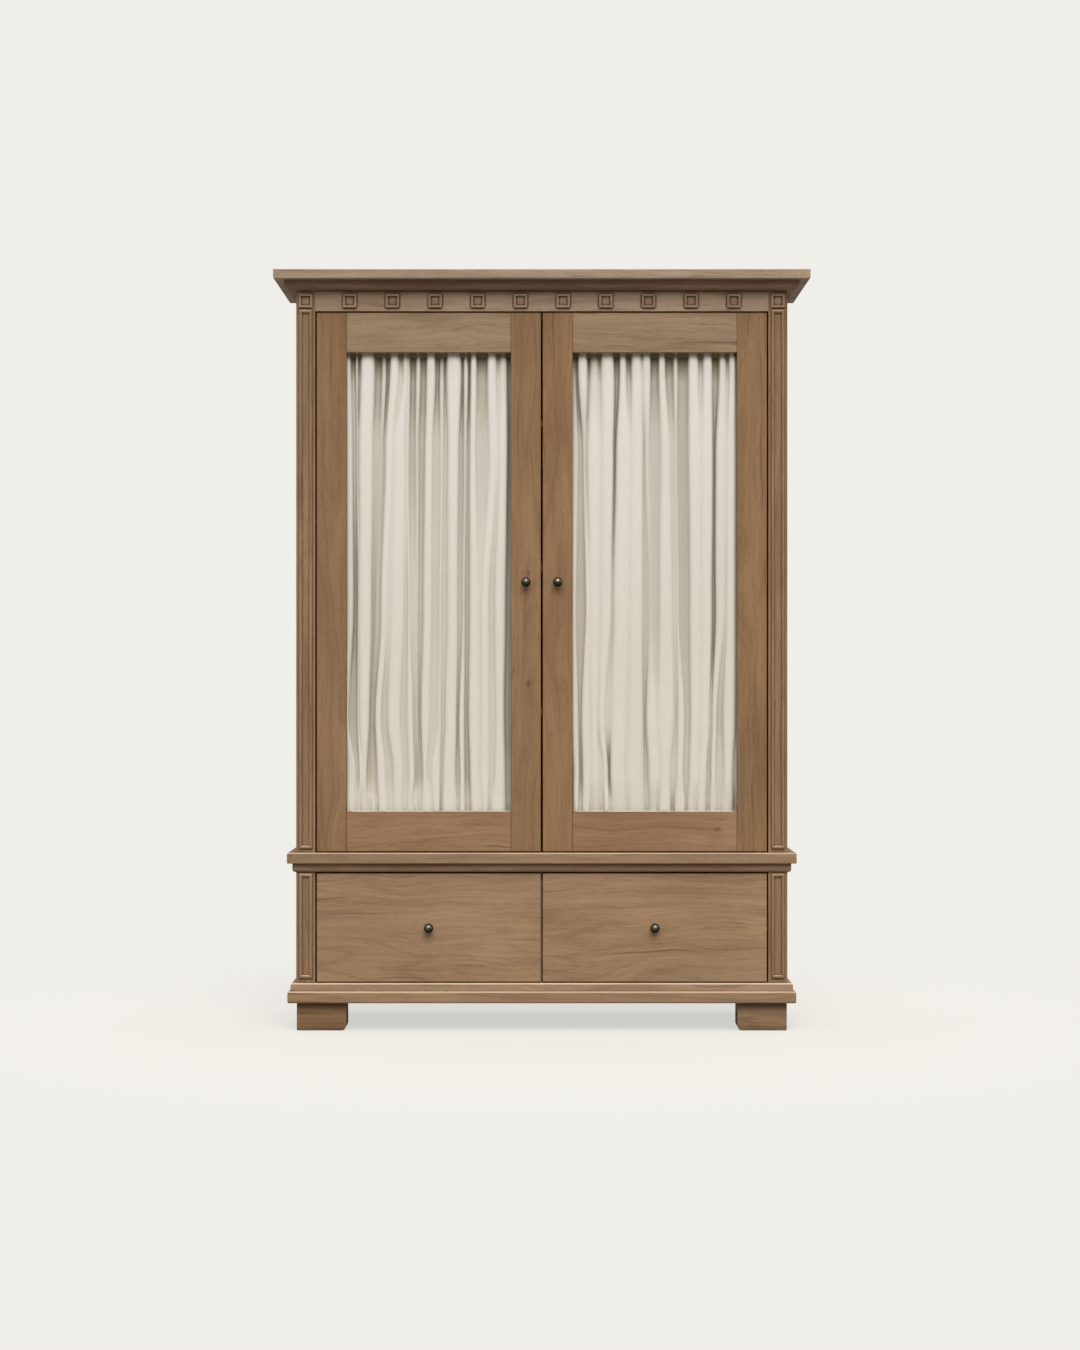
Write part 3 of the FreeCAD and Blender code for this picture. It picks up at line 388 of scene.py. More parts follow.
# The doors are framed: two stiles with the rails tenoned between them, in waxed oak whose
# edges are darkened with painted shade. Four small knots show: place, radius and strength of each.
DOOR_EASE = 0.0008
DOOR_FACE = float(extent("door_left_meeting_stile")[0][1])
KNOTS = {
    "door_left_meeting_stile": (
        ((-0.036, DOOR_FACE, 1.225), 0.006, 0.8),
        ((-0.036, DOOR_FACE, 0.930), 0.008, 0.8),
    ),
    "door_left_hinge_stile": (((-0.548, DOOR_FACE, 0.520), 0.014, 0.15),),
    "door_right_bottom_rail": (((0.470, DOOR_FACE, 0.540), 0.009, 0.7),),
}
for side in ("left", "right"):
    for part, along, light in (
        ("hinge_stile", "z", (0.262, 0.158, 0.084)),
        ("meeting_stile", "z", (0.266, 0.160, 0.086)),
        ("top_rail", "x", (0.308, 0.213, 0.138)),
        ("bottom_rail", "x", (0.290, 0.178, 0.105)),
    ):
        name = f"door_{side}_{part}"
        knots = KNOTS.get(name, ())
        finish(name, oak("oak_" + name, along, light, knots=knots, wear_and_highlight=0), DOOR_EASE)

# The doors' fittings: brass pivots above and below, brass rods in brass sockets for the
# curtains, and steel for the pins' sockets, the strikes and the magnet catches.
CATCH_EASE = 0.0004


def metal(name, colour, tarnish, rough, under=0.0):
    """Bright or blackened metal, with tarnish in its hollows and, by the share under, painted shade on
    its underside.
    """
    material, tree, surface = new_material(name)
    place = add(tree, "TexCoord").outputs["Object"]
    patches = streaked(tree, place, (90.0, 90.0, 90.0), 4.0, 0.6)
    shut = add(tree, "AmbientOcclusion", {"Distance": 0.004}, samples=4).outputs["AO"]
    share = maths(tree, "MULTIPLY", between(tree, patches, 0.35, 0.70, 0.15, 1.0), 0.6)
    shade = maths(tree, "ADD", share, between(tree, shut, 0.2, 0.9, 0.4, 0.0))
    up = add(tree, "SeparateXYZ", {0: add(tree, "NewGeometry").outputs["Normal"]}).outputs[2]
    # Painted shade darkens the underside, by the share under.
    shade = maths(tree, "ADD", shade, between(tree, up, -0.5, 0.45, under, 0.0))
    bump = add(tree, "Bump", {"Strength": 0.15, "Distance": 0.0003, "Height": patches})
    tree.links.new(tinted(tree, shade, colour, tarnish), surface.inputs["Base Color"])
    tree.links.new(between(tree, patches, 0.3, 0.7, rough, rough + 0.16), surface.inputs["Roughness"])
    tree.links.new(bump.outputs[0], surface.inputs["Normal"])
    surface.inputs["Metallic"].default_value = 1.0
    surface.inputs["Specular Tint"].default_value = (*(c * 1.5 for c in colour), 1.0)
    return material


old_brass = metal("old_brass", (0.50, 0.36, 0.16), (0.16, 0.10, 0.05), 0.30)
dull_steel = metal("dull_steel", (0.36, 0.355, 0.34), (0.15, 0.145, 0.135), 0.38)
finish("door_pivots", old_brass)
finish("magnet_catches", dull_steel, CATCH_EASE)
for side in ("left", "right"):
    finish(f"door_{side}_plates", dull_steel)
    finish(f"door_{side}_curtain_rods", old_brass)
    finish(f"door_{side}_rod_sockets", old_brass)

# The curtains: washed linen, gathered on a rod at the top and at the bottom of each opening.
# A fold is given at six distances below the opening's top, in millimetres from its left edge:
# its two edges, how far it stands forward, and how deep the hollow after it is.
OPENING_TOP = float(extent("door_left_top_rail")[0][2])
FOLD_HEIGHTS = (0.046, 0.270, 0.690, 0.985, 1.130, 1.222)
FOLDS = {
    "left": (
        (
            (-7, 9, 0.8, 0.5), (-7, 14, 0.8, 0.3), (-7, 17, 0.7, 1.0),
            (-7, 4, 0.8, 0.7), (-7, 24, 0.7, 0.2), (-7, 19, 1.0, 0.0),
        ),
        (
            (23, 30, 0.7, 0.5), (26, 30, 0.0, 0.8), (29, 30, 0.5, 0.0),
            (29, 30, 0.5, 0.5), (33, 40, 1.0, 0.0), (27, 35, 0.5, 0.2),
        ),
        (
            (37, 75, 1.0, 1.0), (32, 68, 1.0, 0.0), (31, 65, 1.0, 0.2),
            (30, 60, 1.0, 0.2), (41, 53, 1.0, 0.2), (38, 54, 0.6, 0.0),
        ),
        (
            (94, 105, 0.4, 0.8), (88, 96, -0.2, 0.1), (76, 80, -0.4, 0.0),
            (67, 70, -0.4, 0.2), (65, 67, -0.3, 0.1), (68, 76, 0.7, 0.2),
        ),
        (
            (115, 139, 0.9, 0.2), (103, 122, 0.9, 0.0), (92, 108, 1.0, 0.0),
            (75, 92, 1.0, 0.4), (80, 104, 1.0, 0.3), (85, 108, 1.0, 0.0),
        ),
        (
            (151, 163, 0.7, 0.0), (126, 155, 1.0, 0.0), (118, 153, 0.9, 0.2),
            (108, 142, 1.0, 0.3), (123, 150, 0.9, 0.2), (124, 150, 0.8, 0.0),
        ),
        (
            (161, 168, 0.5, 1.0), (160, 166, 0.4, 0.4), (163, 169, 0.9, 0.0),
            (161, 178, 1.0, 0.1), (166, 180, 1.0, 0.4), (161, 174, 0.8, 0.0),
        ),
        (
            (185, 197, 0.5, 1.0), (184, 192, 0.2, 0.4), (185, 190, 0.3, 0.3),
            (186, 190, 0.0, 0.3), (190, 191, 0.3, 0.4), (185, 189, 0.7, 0.1),
        ),
        (
            (213, 237, 1.0, 0.8), (209, 229, 1.0, 0.3), (205, 226, 1.0, 0.3),
            (199, 221, 1.0, 0.2), (203, 214, 1.0, 0.1), (199, 226, 0.9, 0.0),
        ),
        (
            (249, 259, 0.3, 0.4), (250, 258, 0.5, 0.3), (247, 253, 0.7, 0.3),
            (245, 252, 0.6, 0.3), (226, 248, 0.9, 0.3), (233, 248, 1.0, 0.5),
        ),
        (
            (267, 306, 1.0, 1.0), (270, 298, 1.0, 0.3), (270, 297, 1.0, 0.3),
            (264, 294, 1.0, 0.6), (258, 290, 1.0, 0.5), (254, 294, 0.9, 0.2),
        ),
        (
            (313, 325, 0.5, 0.9), (312, 320, 0.0, 0.2), (310, 316, 0.3, 0.4),
            (301, 315, 0.9, 0.6), (304, 315, 1.0, 0.7), (302, 316, 1.0, 0.4),
        ),
        (
            (331, 348, 1.0, 1.0), (329, 345, 1.0, 0.3), (329, 352, 0.9, 0.0),
            (327, 354, 0.9, 0.0), (330, 352, 1.0, 0.0), (332, 358, 1.0, 0.0),
        ),
        (
            (376, 400, 1.0, 0.1), (380, 404, 0.8, 0.0), (360, 380, 1.0, 0.3),
            (359, 382, 1.0, 0.2), (356, 381, 0.9, 0.2), (364, 378, 0.9, 0.2),
        ),
        (
            (410, 429, 0.6, 0.9), (408, 430, 1.0, 0.4), (396, 425, 1.0, 1.0),
            (398, 422, 1.0, 0.7), (396, 424, 1.0, 0.0), (384, 425, 0.9, 0.0),
        ),
        (
            (438, 447, -0.6, 0.0), (438, 447, -0.6, 0.0), (438, 447, -0.6, 0.0),
            (438, 447, -0.4, 0.0), (438, 447, -0.3, 0.0), (438, 447, -0.2, 0.0),
        ),
    ),
    "right": (
        (
            (-7, 9, -0.1, 1.0), (-7, 15, 0.5, 0.3), (-7, 10, 1.0, 0.7),
            (-7, 15, 1.0, 0.5), (1, 17, 0.9, 0.7), (1, 15, 1.0, 0.3),
        ),
        (
            (14, 40, 0.9, 0.3), (29, 36, 0.0, 0.8), (35, 42, 1.0, 0.0),
            (24, 46, 1.0, 0.0), (27, 48, 1.0, 0.0), (27, 46, 0.9, 0.0),
        ),
        (
            (46, 70, 0.4, 0.0), (38, 76, 0.9, 0.0), (44, 72, 1.0, 0.0),
            (49, 66, 0.8, 0.2), (50, 69, 1.0, 0.1), (50, 74, 0.4, 0.0),
        ),
        (
            (76, 112, 1.0, 1.0), (79, 109, 1.0, 1.0), (76, 104, 0.9, 0.3),
            (69, 87, 0.9, 0.1), (82, 96, 0.8, 1.0), (84, 97, 1.0, 0.0),
        ),
        (
            (126, 144, 0.8, 0.4), (116, 154, 1.0, 0.0), (110, 150, 1.0, 0.0),
            (104, 145, 0.9, 0.0), (101, 140, 1.0, 0.0), (104, 146, 0.6, 0.0),
        ),
        (
            (160, 184, 1.0, 0.1), (156, 188, 1.0, 0.2), (153, 188, 1.0, 0.1),
            (149, 190, 0.8, 0.5), (144, 190, 0.8, 0.4), (150, 192, 0.7, 0.1),
        ),
        (
            (188, 210, 1.0, 0.9), (194, 207, 0.3, 0.2), (205, 214, 0.0, 0.0),
            (199, 225, 0.9, 0.0), (204, 232, 1.0, 0.0), (206, 228, 0.4, 0.0),
        ),
        (
            (231, 250, 0.9, 0.8), (235, 263, 0.7, 0.1), (233, 267, 1.0, 0.1),
            (228, 273, 0.9, 0.3), (235, 262, 0.9, 0.2), (230, 264, 0.9, 0.5),
        ),
        (
            (272, 281, 0.5, 1.0), (275, 281, 0.2, 0.5), (280, 286, 0.4, 0.5),
            (281, 300, 0.8, 0.4), (280, 295, 1.0, 0.4), (273, 301, 0.8, 0.2),
        ),
        (
            (311, 337, 1.0, 0.3), (311, 342, 1.0, 0.0), (315, 342, 1.0, 0.0),
            (317, 341, 1.0, 0.0), (314, 336, 1.0, 0.0), (308, 330, 0.5, 0.0),
        ),
        (
            (351, 375, 1.0, 0.7), (345, 376, 1.0, 1.0), (345, 373, 1.0, 1.0),
            (344, 367, 1.0, 0.3), (340, 360, 1.0, 0.4), (334, 358, 0.7, 0.3),
        ),
        (
            (393, 411, 0.7, 0.1), (384, 411, 0.8, 0.0), (384, 409, 0.6, 0.0),
            (375, 386, 0.9, 0.5), (371, 383, 1.0, 0.3), (366, 386, 0.6, 0.0),
        ),
        (
            (421, 438, 1.0, 0.0), (413, 438, 1.0, 0.0), (412, 438, 1.0, 0.0),
            (405, 438, 1.0, 0.1), (407, 430, 1.0, 0.1), (400, 431, 0.5, 0.4),
        ),
        (
            (442, 447, 0.5, 0.0), (442, 447, 0.5, 0.0), (442, 447, 0.5, 0.0),
            (442, 447, 0.5, 0.0), (441, 447, 0.5, 0.0), (441, 447, 0.5, 0.0),
        ),
    ),
}
rods_low, rods_high = extent("door_left_curtain_rods")
ROD_RADIUS = float(rods_high[1] - rods_low[1]) / 2
ROD_HEIGHTS = (float(rods_high[2]) - ROD_RADIUS, float(rods_low[2]) + ROD_RADIUS)
ROD_PLACE = float(rods_low[1]) + ROD_RADIUS
ROD_SLACK = 0.0012
TURNED_IN = 0.020
TURN_STEPS = 7
CLOTH_ROWS = 150
CLOTH_FRONT = -0.1990
CLOTH_DEPTH = 0.0205
# Across a fold, in millimetres: points on it and on a hollow, how far it spreads past its
# edges, how far these wander, the narrowest fold, and how far the cloth is softened.
FOLD_STEPS = 9
HOLLOW_STEPS = 10
SPREAD = 0.8
WANDER = 0.7
NARROWEST = 1.5
SOFT_STEP = 0.5
SOFT_REACH = 8
SOFTNESS = np.exp(-(np.arange(-SOFT_REACH, SOFT_REACH + 1) * SOFT_STEP / 1.7) ** 2 / 2)
SOFTNESS /= SOFTNESS.sum()
# From front to back, as shares of the cloth's depth: how far back a fold lies that stands
# at 0, how far a fold's edges fall off at most, and how deep a full hollow is.
SET_BACK = 0.45
SHOULDER = 0.22
HOLLOW = 0.80
# In metres: how far the gathers at the top and at the bottom reach, how far back the top rod
# draws the cloth, and the puckers beside the rods.
GATHER_REACH = (0.008, 0.006)
TUCK = 0.0055
TUCK_REACH = 0.020
PUCKER_REACH = 0.022
PUCKER_DEPTH = 0.0026


def eased_between(stations, rows, at):
    """Follows values given at a few stations, smoothly, and holds the end ones beyond them."""
    rows = np.asarray(rows, float)
    spot = np.clip(at, stations[0], stations[-1])
    k = min(max(np.searchsorted(stations, spot) - 1, 0), len(stations) - 2)
    share = (spot - stations[k]) / (stations[k + 1] - stations[k])
    share = share * share * (3 - 2 * share)
    return rows[k] * (1 - share) + rows[k + 1] * share


def fold_line(folds, down, drift):
    """One level line across a curtain, seen from above: x from the opening's edge, and depth."""
    places = [eased_between(FOLD_HEIGHTS, fold, down) for fold in folds]
    lefts = [place[0] + drift(k, down, 0) * WANDER - SPREAD for k, place in enumerate(places)]
    rights = [place[1] + drift(k, down, 1) * WANDER + SPREAD for k, place in enumerate(places)]
    line = []
    for k, (_, _, stand, dip) in enumerate(places):
        left, right = lefts[k], rights[k]
        wide = max(right - left, NARROWEST)
        crest = (1 - stand) * SET_BACK
        shoulder = min(SHOULDER, 0.010 * wide)
        for s in np.linspace(0, 1, FOLD_STEPS):
            line.append((left + wide * s, crest + shoulder * abs(2 * s - 1) ** 3.2))
        if k + 1 == len(places):
            break
        after = places[k + 1]
        stop = max(lefts[k + 1], right + SPREAD)
        first = crest + shoulder
        last = (1 - after[2]) * SET_BACK + min(SHOULDER, 0.010 * max(after[1] - after[0], NARROWEST))
        bottom = min(max(first, last) + dip * HOLLOW, 1.0)
        for s in np.linspace(0, 1, HOLLOW_STEPS + 2)[1:-1]:
            level = first + (last - first) * s
            sink = math.sin(math.pi * s) ** 0.62
            x = right + (stop - right) * (0.5 - 0.5 * math.cos(math.pi * s))
            line.append((x, level + (bottom - level) * sink))
    line = np.array(line)
    line[:, 0] = np.maximum.accumulate(line[:, 0]) + np.arange(len(line)) * 0.002
    return line


def softened(line):
    """Rounds a line off, as thick cloth does: x, and depth as a share."""
    even = np.arange(line[0, 0], line[-1, 0], SOFT_STEP)
    depth = np.pad(np.interp(even, line[:, 0], line[:, 1]), SOFT_REACH, mode="edge")
    soft = np.convolve(depth, SOFTNESS, "same")[SOFT_REACH:-SOFT_REACH]
    return line[:, 0], np.interp(line[:, 0], even, soft)


def cloth_rows():
    """The rows of a curtain: height, place from front to back on a rod, and how free it hangs."""
    top, bottom = ROD_HEIGHTS
    wrap = ROD_RADIUS + ROD_SLACK
    inside = ROD_PLACE + wrap
    rows = [(top - TURNED_IN, inside + 0.0016, 0.0), (top - TURNED_IN / 2, inside + 0.001, 0.0)]
    for turn in np.linspace(0, math.pi, TURN_STEPS):
        rows.append((top + wrap * math.sin(turn), ROD_PLACE + wrap * math.cos(turn), 0.0))
    start, stop = top - 0.0035, bottom + 0.0035
    for s in np.linspace(0, 1, CLOTH_ROWS):
        # The rows lie closest together near the rods.
        z = start + (stop - start) * (s - 0.10 * math.sin(2 * math.pi * s))
        free = min((start - z) / GATHER_REACH[0], (z - stop) / GATHER_REACH[1], 1.0)
        rows.append((z, None, free * free * (3 - 2 * free)))
    for turn in np.linspace(math.pi, 2 * math.pi, TURN_STEPS):
        rows.append((bottom + wrap * math.sin(turn), ROD_PLACE + wrap * math.cos(turn), 0.0))
    rows.append((bottom + TURNED_IN / 2, inside + 0.001, 0.0))
    rows.append((bottom + TURNED_IN, inside + 0.0016, 0.0))
    return rows


def hung_cloth(side, seed):
    """The sheet's points, row by row, from the turn-in behind the top rod to the one at the bottom."""
    chance = np.random.default_rng(seed)
    folds = FOLDS[side]
    phases = chance.uniform(0, 2 * math.pi, (len(folds), 2, 3))
    pucker_phase = chance.uniform(0, 2 * math.pi, 6)
    pucker_pace = chance.uniform(0.55, 1.15, 6)

    def drift(k, down, edge):
        waves = (5.1, 11.7, 23.0)
        sizes = (0.9, 0.55, 0.25)
        return sum(a * math.sin(w * down + p) for a, w, p in zip(sizes, waves, phases[k, edge]))

    grid = []
    for z, y, free in cloth_rows():
        down = OPENING_TOP - z
        along, share = softened(fold_line(folds, down, drift))
        near_rod = min(abs(z - height) for height in ROD_HEIGHTS)
        pucker = sum(
            np.sin(along * pace + phase + 0.02 * k * near_rod * 1000)
            for k, (pace, phase) in enumerate(zip(pucker_pace, pucker_phase))
        ) / 6
        if y is None:
            # Under the top rod the cloth is drawn back, and its hollows are deepest there.
            below = max(down, 0.0)
            tuck = TUCK * math.exp(-((below / TUCK_REACH) ** 2))
            wave = np.sin(along * 0.121 + pucker_phase[0]) * np.sin(along * 0.068 + pucker_phase[1])
            reach = 0.012 + 0.060 * (0.5 + 0.5 * wave)
            deep = np.minimum(share * (1 + 0.7 * np.exp(-below / reach)), 1.0)
            depth = CLOTH_FRONT + tuck + (CLOTH_DEPTH - tuck) * deep * (0.10 + 0.90 * free)
            fade = math.exp(-near_rod / PUCKER_REACH) * min(free * 3, 1)
            depth = np.maximum(depth + pucker * PUCKER_DEPTH * fade, CLOTH_FRONT - 0.0005)
        else:
            outward = 1 if y > ROD_PLACE else -1
            depth = y + outward * (0.0004 + 0.0004 * pucker)
        grid.append(np.column_stack([along / 1000, depth, np.full(len(along), z)]))
    return np.array(grid)


def sheet_mesh(name, grid):
    """A cloth mesh from rows of points, with a flat pattern map in metres, and its flat size."""
    rows, columns = grid.shape[:2]
    mesh = bpy.data.meshes.new(name)
    points = grid.reshape(-1, 3)
    faces = [
        (r * columns + c, r * columns + c + 1, (r + 1) * columns + c + 1, (r + 1) * columns + c)
        for r in range(rows - 1)
        for c in range(columns - 1)
    ]
    mesh.from_pydata(points.tolist(), [], faces)
    across = np.linalg.norm(np.diff(grid, axis=1), axis=2)
    width = np.concatenate([[0], np.cumsum(across[rows // 2])])
    down = np.linalg.norm(np.diff(grid[:, columns // 2], axis=0), axis=1)
    length = np.concatenate([[0], np.cumsum(down)])
    pattern = mesh.uv_layers.new(name="cloth")
    flat = np.array([(width[v % columns], length[v // columns]) for v in range(rows * columns)])
    loops = np.empty(len(mesh.loops), int)
    mesh.loops.foreach_get("vertex_index", loops)
    pattern.data.foreach_set("uv", flat[loops].astype(np.float32).ravel())
    mesh.polygons.foreach_set("use_smooth", [True] * len(mesh.polygons))
    mesh.update()
    return mesh, (float(width[-1]), float(length[-1]))


# The linen's own colours, from thread to thread and paler towards the top, and the
# painted shade of its hollows and the painted shadow under the top rail.
LINEN_THREADS = ((0.708, 0.664, 0.580), (0.788, 0.747, 0.668))
LINEN_CLOUD = (0.684, 0.668, 0.592)
LINEN_PALER_HIGH = (0.850, 0.822, 0.780)
LINEN_HOLLOW_SHADE = (0.335, 0.293, 0.202)
LINEN_CREASE_SHADE = (0.090, 0.068, 0.020)
LINEN_RAIL_SHADOW = (0.150, 0.114, 0.042)
THREAD = 0.0011


def linen(name):
    """Washed linen: a plain weave with slubs, a soft sheen, and painted shade in the hollows."""
    material, tree, surface = new_material(name)
    pattern = add(tree, "TexCoord").outputs["UV"]
    weft, warp = (
        between(tree, streaked(tree, pattern, scale, 2.0), 0.35, 0.75)
        for scale in ((900.0, 14.0, 1.0), (14.0, 900.0, 1.0))
    )
    slub = maths(tree, "ADD", weft, warp)
    parts = add(tree, "SeparateXYZ", {0: pattern}).outputs
    over, under = (
        maths(tree, "SINE", maths(tree, "MULTIPLY", part, 2 * math.pi / THREAD)) for part in parts[:2]
    )
    weave = maths(tree, "MULTIPLY", over, under)
    cloud = streaked(tree, pattern, (6.0, 2.5, 1.0), 3.0)
    colour = tinted(tree, between(tree, slub, 0.4, 1.6), *LINEN_THREADS)
    colour = tinted(tree, between(tree, cloud, 0.40, 0.65, 0.0, 0.35), colour, LINEN_CLOUD)
    place = add(tree, "TexCoord").outputs["Object"]
    back, height = add(tree, "SeparateXYZ", {0: place}).outputs[1:3]
    # The cloth is paler towards the top.
    paler_high = between(tree, height, OPENING_TOP - 0.75, OPENING_TOP - 0.05, 0.0, 0.55)
    colour = tinted(tree, paler_high, colour, LINEN_PALER_HIGH)
    # Painted shade greys the hollows, further back than the crests, and the creases; a painted shadow
    # lies under the top rail, darkest in the hollows.
    hollow = between(tree, back, CLOTH_FRONT + 0.0015, CLOTH_FRONT + CLOTH_DEPTH * 0.8, 0.0, 0.60)
    colour = tinted(tree, hollow, colour, LINEN_HOLLOW_SHADE)
    shut = add(tree, "AmbientOcclusion", {"Distance": 0.03}, samples=6).outputs["AO"]
    colour = tinted(tree, between(tree, shut, 0.08, 0.72, 0.70, 0.0), colour, LINEN_CREASE_SHADE)
    ragged = maths(tree, "MULTIPLY_ADD", streaked(tree, place, (34.0, 0.0, 3.0), 2.0), 0.085, height)
    under_rail_shadow = between(tree, ragged, OPENING_TOP - 0.032, OPENING_TOP + 0.032)
    pit = between(tree, back, CLOTH_FRONT + 0.005, CLOTH_FRONT + 0.013, 0.14, 0.88)
    colour = tinted(tree, maths(tree, "MULTIPLY", under_rail_shadow, pit), colour, LINEN_RAIL_SHADOW)
    raised = maths(tree, "MULTIPLY_ADD", weave, 0.3, slub)
    bump = add(tree, "Bump", {"Strength": 0.25, "Distance": 0.0003, "Height": raised})
    tree.links.new(colour, surface.inputs["Base Color"])
    tree.links.new(between(tree, slub, 0.4, 1.6, 0.92, 0.80), surface.inputs["Roughness"])
    tree.links.new(bump.outputs[0], surface.inputs["Normal"])
    surface.inputs["Sheen Weight"].default_value = 0.25
    surface.inputs["Sheen Roughness"].default_value = 0.5
    surface.inputs["Specular IOR Level"].default_value = 0.2
    return material


washed_linen = linen("washed_linen")
for side, seed, stile in (
    ("left", 11, "door_left_hinge_stile"),
    ("right", 12, "door_right_meeting_stile"),
):
    grid = hung_cloth(side, seed)
    grid[:, :, 0] += extent(stile)[1][0]
    mesh, cut = sheet_mesh(f"linen_curtain_{side}", grid)
    mesh.materials.append(washed_linen)
    curtain = bpy.data.objects.new(f"linen_curtain_{side}", mesh)
    bpy.context.scene.collection.objects.link(curtain)
    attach(curtain, f"door_{side}")
    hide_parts(f"door_{side}_curtain")

# The knobs are turned bronze balls on a small rose, darkened with age, one to each door
# and one to each drawer, whose fronts lie in the doors' plane. The rose and the neck are
# given as distances from that face, each with the radius there.
KNOB_TURNS = 48
ROSE = ((0.0, 0.0080), (0.0011, 0.0080), (0.0017, 0.0076), (0.0021, 0.0066), (0.0024, 0.0054))
NECK = ((0.0034, 0.0046), (0.0045, 0.0043))
BALL = 0.0125
BALL_CENTRE = 0.0175
BALL_FOOT = 0.0046
BALL_STEPS = 26
# The knobs get painted shade on their undersides.
dark_bronze = metal("dark_bronze", (0.215, 0.205, 0.178), (0.026, 0.023, 0.016), 0.20, under=0.9)


def turned_knob(name, x, z):
    """A ball knob turned on its own axis, standing out from the face at x and z."""
    opening = math.pi - math.asin(BALL_FOOT / BALL)
    arc = [
        (BALL_CENTRE - BALL * math.cos(math.pi - a), BALL * math.sin(a))
        for a in np.linspace(opening, 0.02, BALL_STEPS)
    ]
    outline = [*ROSE, *NECK, *arc]
    points = [
        (x + r * math.cos(t), DOOR_FACE - d, z + r * math.sin(t))
        for d, r in outline
        for t in (2 * math.pi * k / KNOB_TURNS for k in range(KNOB_TURNS))
    ]
    ring = KNOB_TURNS
    faces = [
        (r * ring + k, r * ring + (k + 1) % ring, (r + 1) * ring + (k + 1) % ring, (r + 1) * ring + k)
        for r in range(len(outline) - 1)
        for k in range(ring)
    ]
    faces.append(tuple(range(ring))[::-1])
    faces.append(tuple(range((len(outline) - 1) * ring, len(outline) * ring)))
    mesh = bpy.data.meshes.new(name)
    mesh.from_pydata(points, [], faces)
    mesh.polygons.foreach_set("use_smooth", [True] * len(mesh.polygons))
    mesh.materials.append(dark_bronze)
    mesh.update()
    knob = bpy.data.objects.new(name, mesh)
    bpy.context.scene.collection.objects.link(knob)
    return knob


for body in ("door_left", "door_right", "drawer_left", "drawer_right"):
    low, high = extent(body + "_knob")
    knob = turned_knob(body + "_ball_knob", (low[0] + high[0]) / 2, (low[2] + high[2]) / 2)
    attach(knob, body)
    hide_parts(body + "_knob")

# The drawers: waxed oak fronts whose edges are darkened with painted shade, and boxes of dry
# oak behind them, the sides tongued into the front and the bottom slid into its groove.
FRONT_OAK = (0.316, 0.206, 0.122)
for side in ("left", "right"):
    name = f"drawer_{side}_"
    finish(name + "front", oak("oak_" + name + "front", "x", FRONT_OAK, wear_and_highlight=0))
    for part, along in (("sides", "y"), ("back", "x"), ("bottom", "x")):
        finish(name + part, oak("dry_" + name + part, along, DRY_OAK), DRY_EASE)

# The room: a pale floor that shows only the shadow near the press, and an even pale backdrop.
# The wood gets less light from both than the eye does, and most of it from above.
PALE = (0.871, 0.855, 0.815)
FLOOR_REACH = 60.0
SHADOW_REACH = (1.1, 2.2)
SHADOW_SHARE = 0.30
FLOOR_SENDS = (0.30, 0.29, 0.27)
FLOOR_TAKES = (0.80, 0.785, 0.75)
WARM_WHITE = (1.0, 0.985, 0.96)


def seen_directly(tree):
    """1 where the eye, or a polished surface, sees the background itself."""
    path = add(tree, "LightPath").outputs
    seen = maths(tree, "MAXIMUM", path["Is Camera Ray"], path["Is Glossy Ray"])
    return maths(tree, "MAXIMUM", seen, path["Is Transmission Ray"])


corners = [(x * FLOOR_REACH, y * FLOOR_REACH, 0) for x, y in ((-1, -1), (1, -1), (1, 1), (-1, 1))]
floor_mesh = bpy.data.meshes.new("floor")
floor_mesh.from_pydata(corners, [], [(0, 1, 2, 3)])
floor_paint = bpy.data.materials.new("pale_floor")
floor_paint.use_nodes = True
tree = floor_paint.node_tree
tree.nodes.clear()
place = add(tree, "TexCoord").outputs["Object"]
far = add(tree, "VectorMath", {0: place}, operation="LENGTH").outputs["Value"]
shadow_share = between(tree, far, *SHADOW_REACH, SHADOW_SHARE, 0.0)
matt = add(tree, "BsdfDiffuse", {"Color": (*FLOOR_SENDS, 1)}).outputs[0]
lit = add(tree, "BsdfDiffuse", {"Color": (*FLOOR_TAKES, 1)}).outputs[0]
plain = add(tree, "Emission", {"Color": (*PALE, 1), "Strength": 1.0}).outputs[0]
shown = add(tree, "MixShader", {0: shadow_share, 1: plain, 2: lit}).outputs[0]
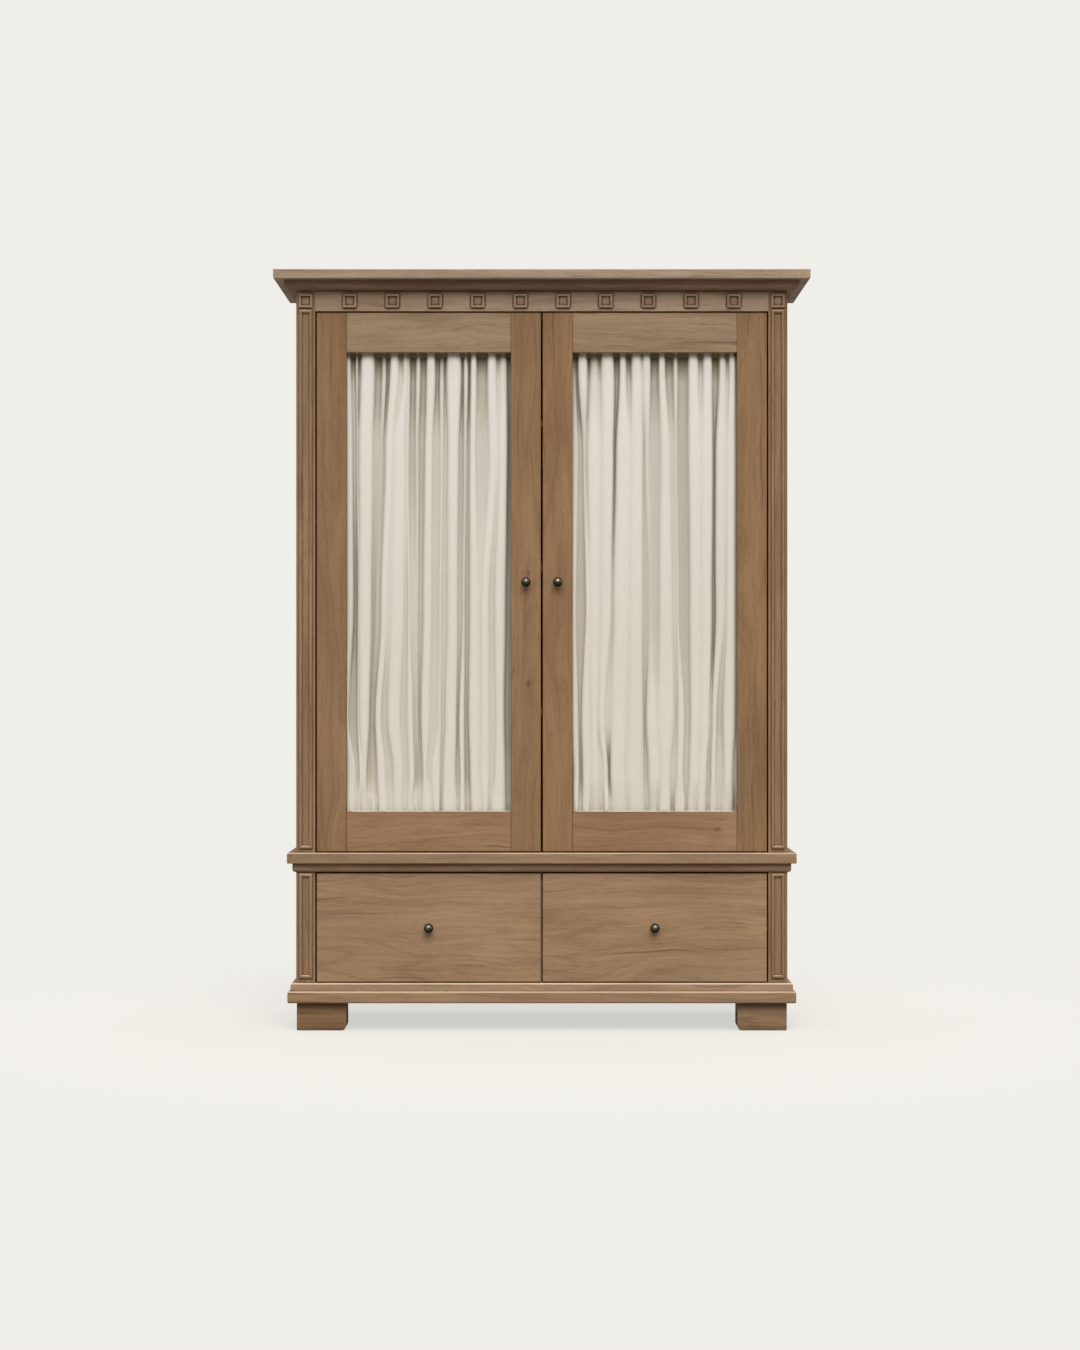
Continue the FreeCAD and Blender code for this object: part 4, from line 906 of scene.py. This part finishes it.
both = add(tree, "MixShader", {0: seen_directly(tree), 1: matt, 2: shown}).outputs[0]
add(tree, "OutputMaterial", {0: both})
floor_mesh.materials.append(floor_paint)
floor = bpy.data.objects.new("floor", floor_mesh)
bpy.context.scene.collection.objects.link(floor)

world = bpy.data.worlds.new("room")
world.use_nodes = True
tree = world.node_tree
tree.nodes.clear()
height = add(tree, "SeparateXYZ", {0: add(tree, "TexCoord").outputs["Generated"]}).outputs[2]
fill = add(tree, "Background", {0: (*WARM_WHITE, 1), 1: between(tree, height, 0.0, 1.0, 0.20, 0.95)})
seen = add(tree, "Background", {0: (*PALE, 1), 1: 1.0})
both = add(tree, "MixShader", {0: seen_directly(tree), 1: fill.outputs[0], 2: seen.outputs[0]})
add(tree, "OutputWorld", {0: both.outputs[0]})
bpy.context.scene.world = world

# The light: one wide window, high in front of the press and a little to the right.
WINDOW_RISE = math.radians(45)
WINDOW_TURN = math.radians(5)
WINDOW_SPREAD = math.radians(46)
WINDOW_STRENGTH = 2.35
lamp = bpy.data.lights.new("high_window", "SUN")
lamp.energy = WINDOW_STRENGTH
lamp.angle = WINDOW_SPREAD
lamp.color = WARM_WHITE
window = bpy.data.objects.new("high_window", lamp)
level = math.cos(WINDOW_RISE)
towards = Vector((math.sin(WINDOW_TURN) * level, -math.cos(WINDOW_TURN) * level, math.sin(WINDOW_RISE)))
window.rotation_mode = "QUATERNION"
window.rotation_quaternion = (-towards).to_track_quat("-Z", "Y")
bpy.context.scene.collection.objects.link(window)

# The eye stands level and straight in front, about 8 m off, behind a long lens.
EYE_PLACE = (-0.0048, -8.2685, 0.9526)
EYE_LENS = 80.2
eye = bpy.data.cameras.new("eye")
eye.sensor_width = 36
eye.lens = EYE_LENS
eye.clip_end = 200
camera = bpy.data.objects.new("eye", eye)
camera.location = EYE_PLACE
camera.rotation_euler = (math.pi / 2, 0, 0)
bpy.context.scene.collection.objects.link(camera)
bpy.context.scene.camera = camera

bpy.context.scene.view_settings.view_transform = "Standard"
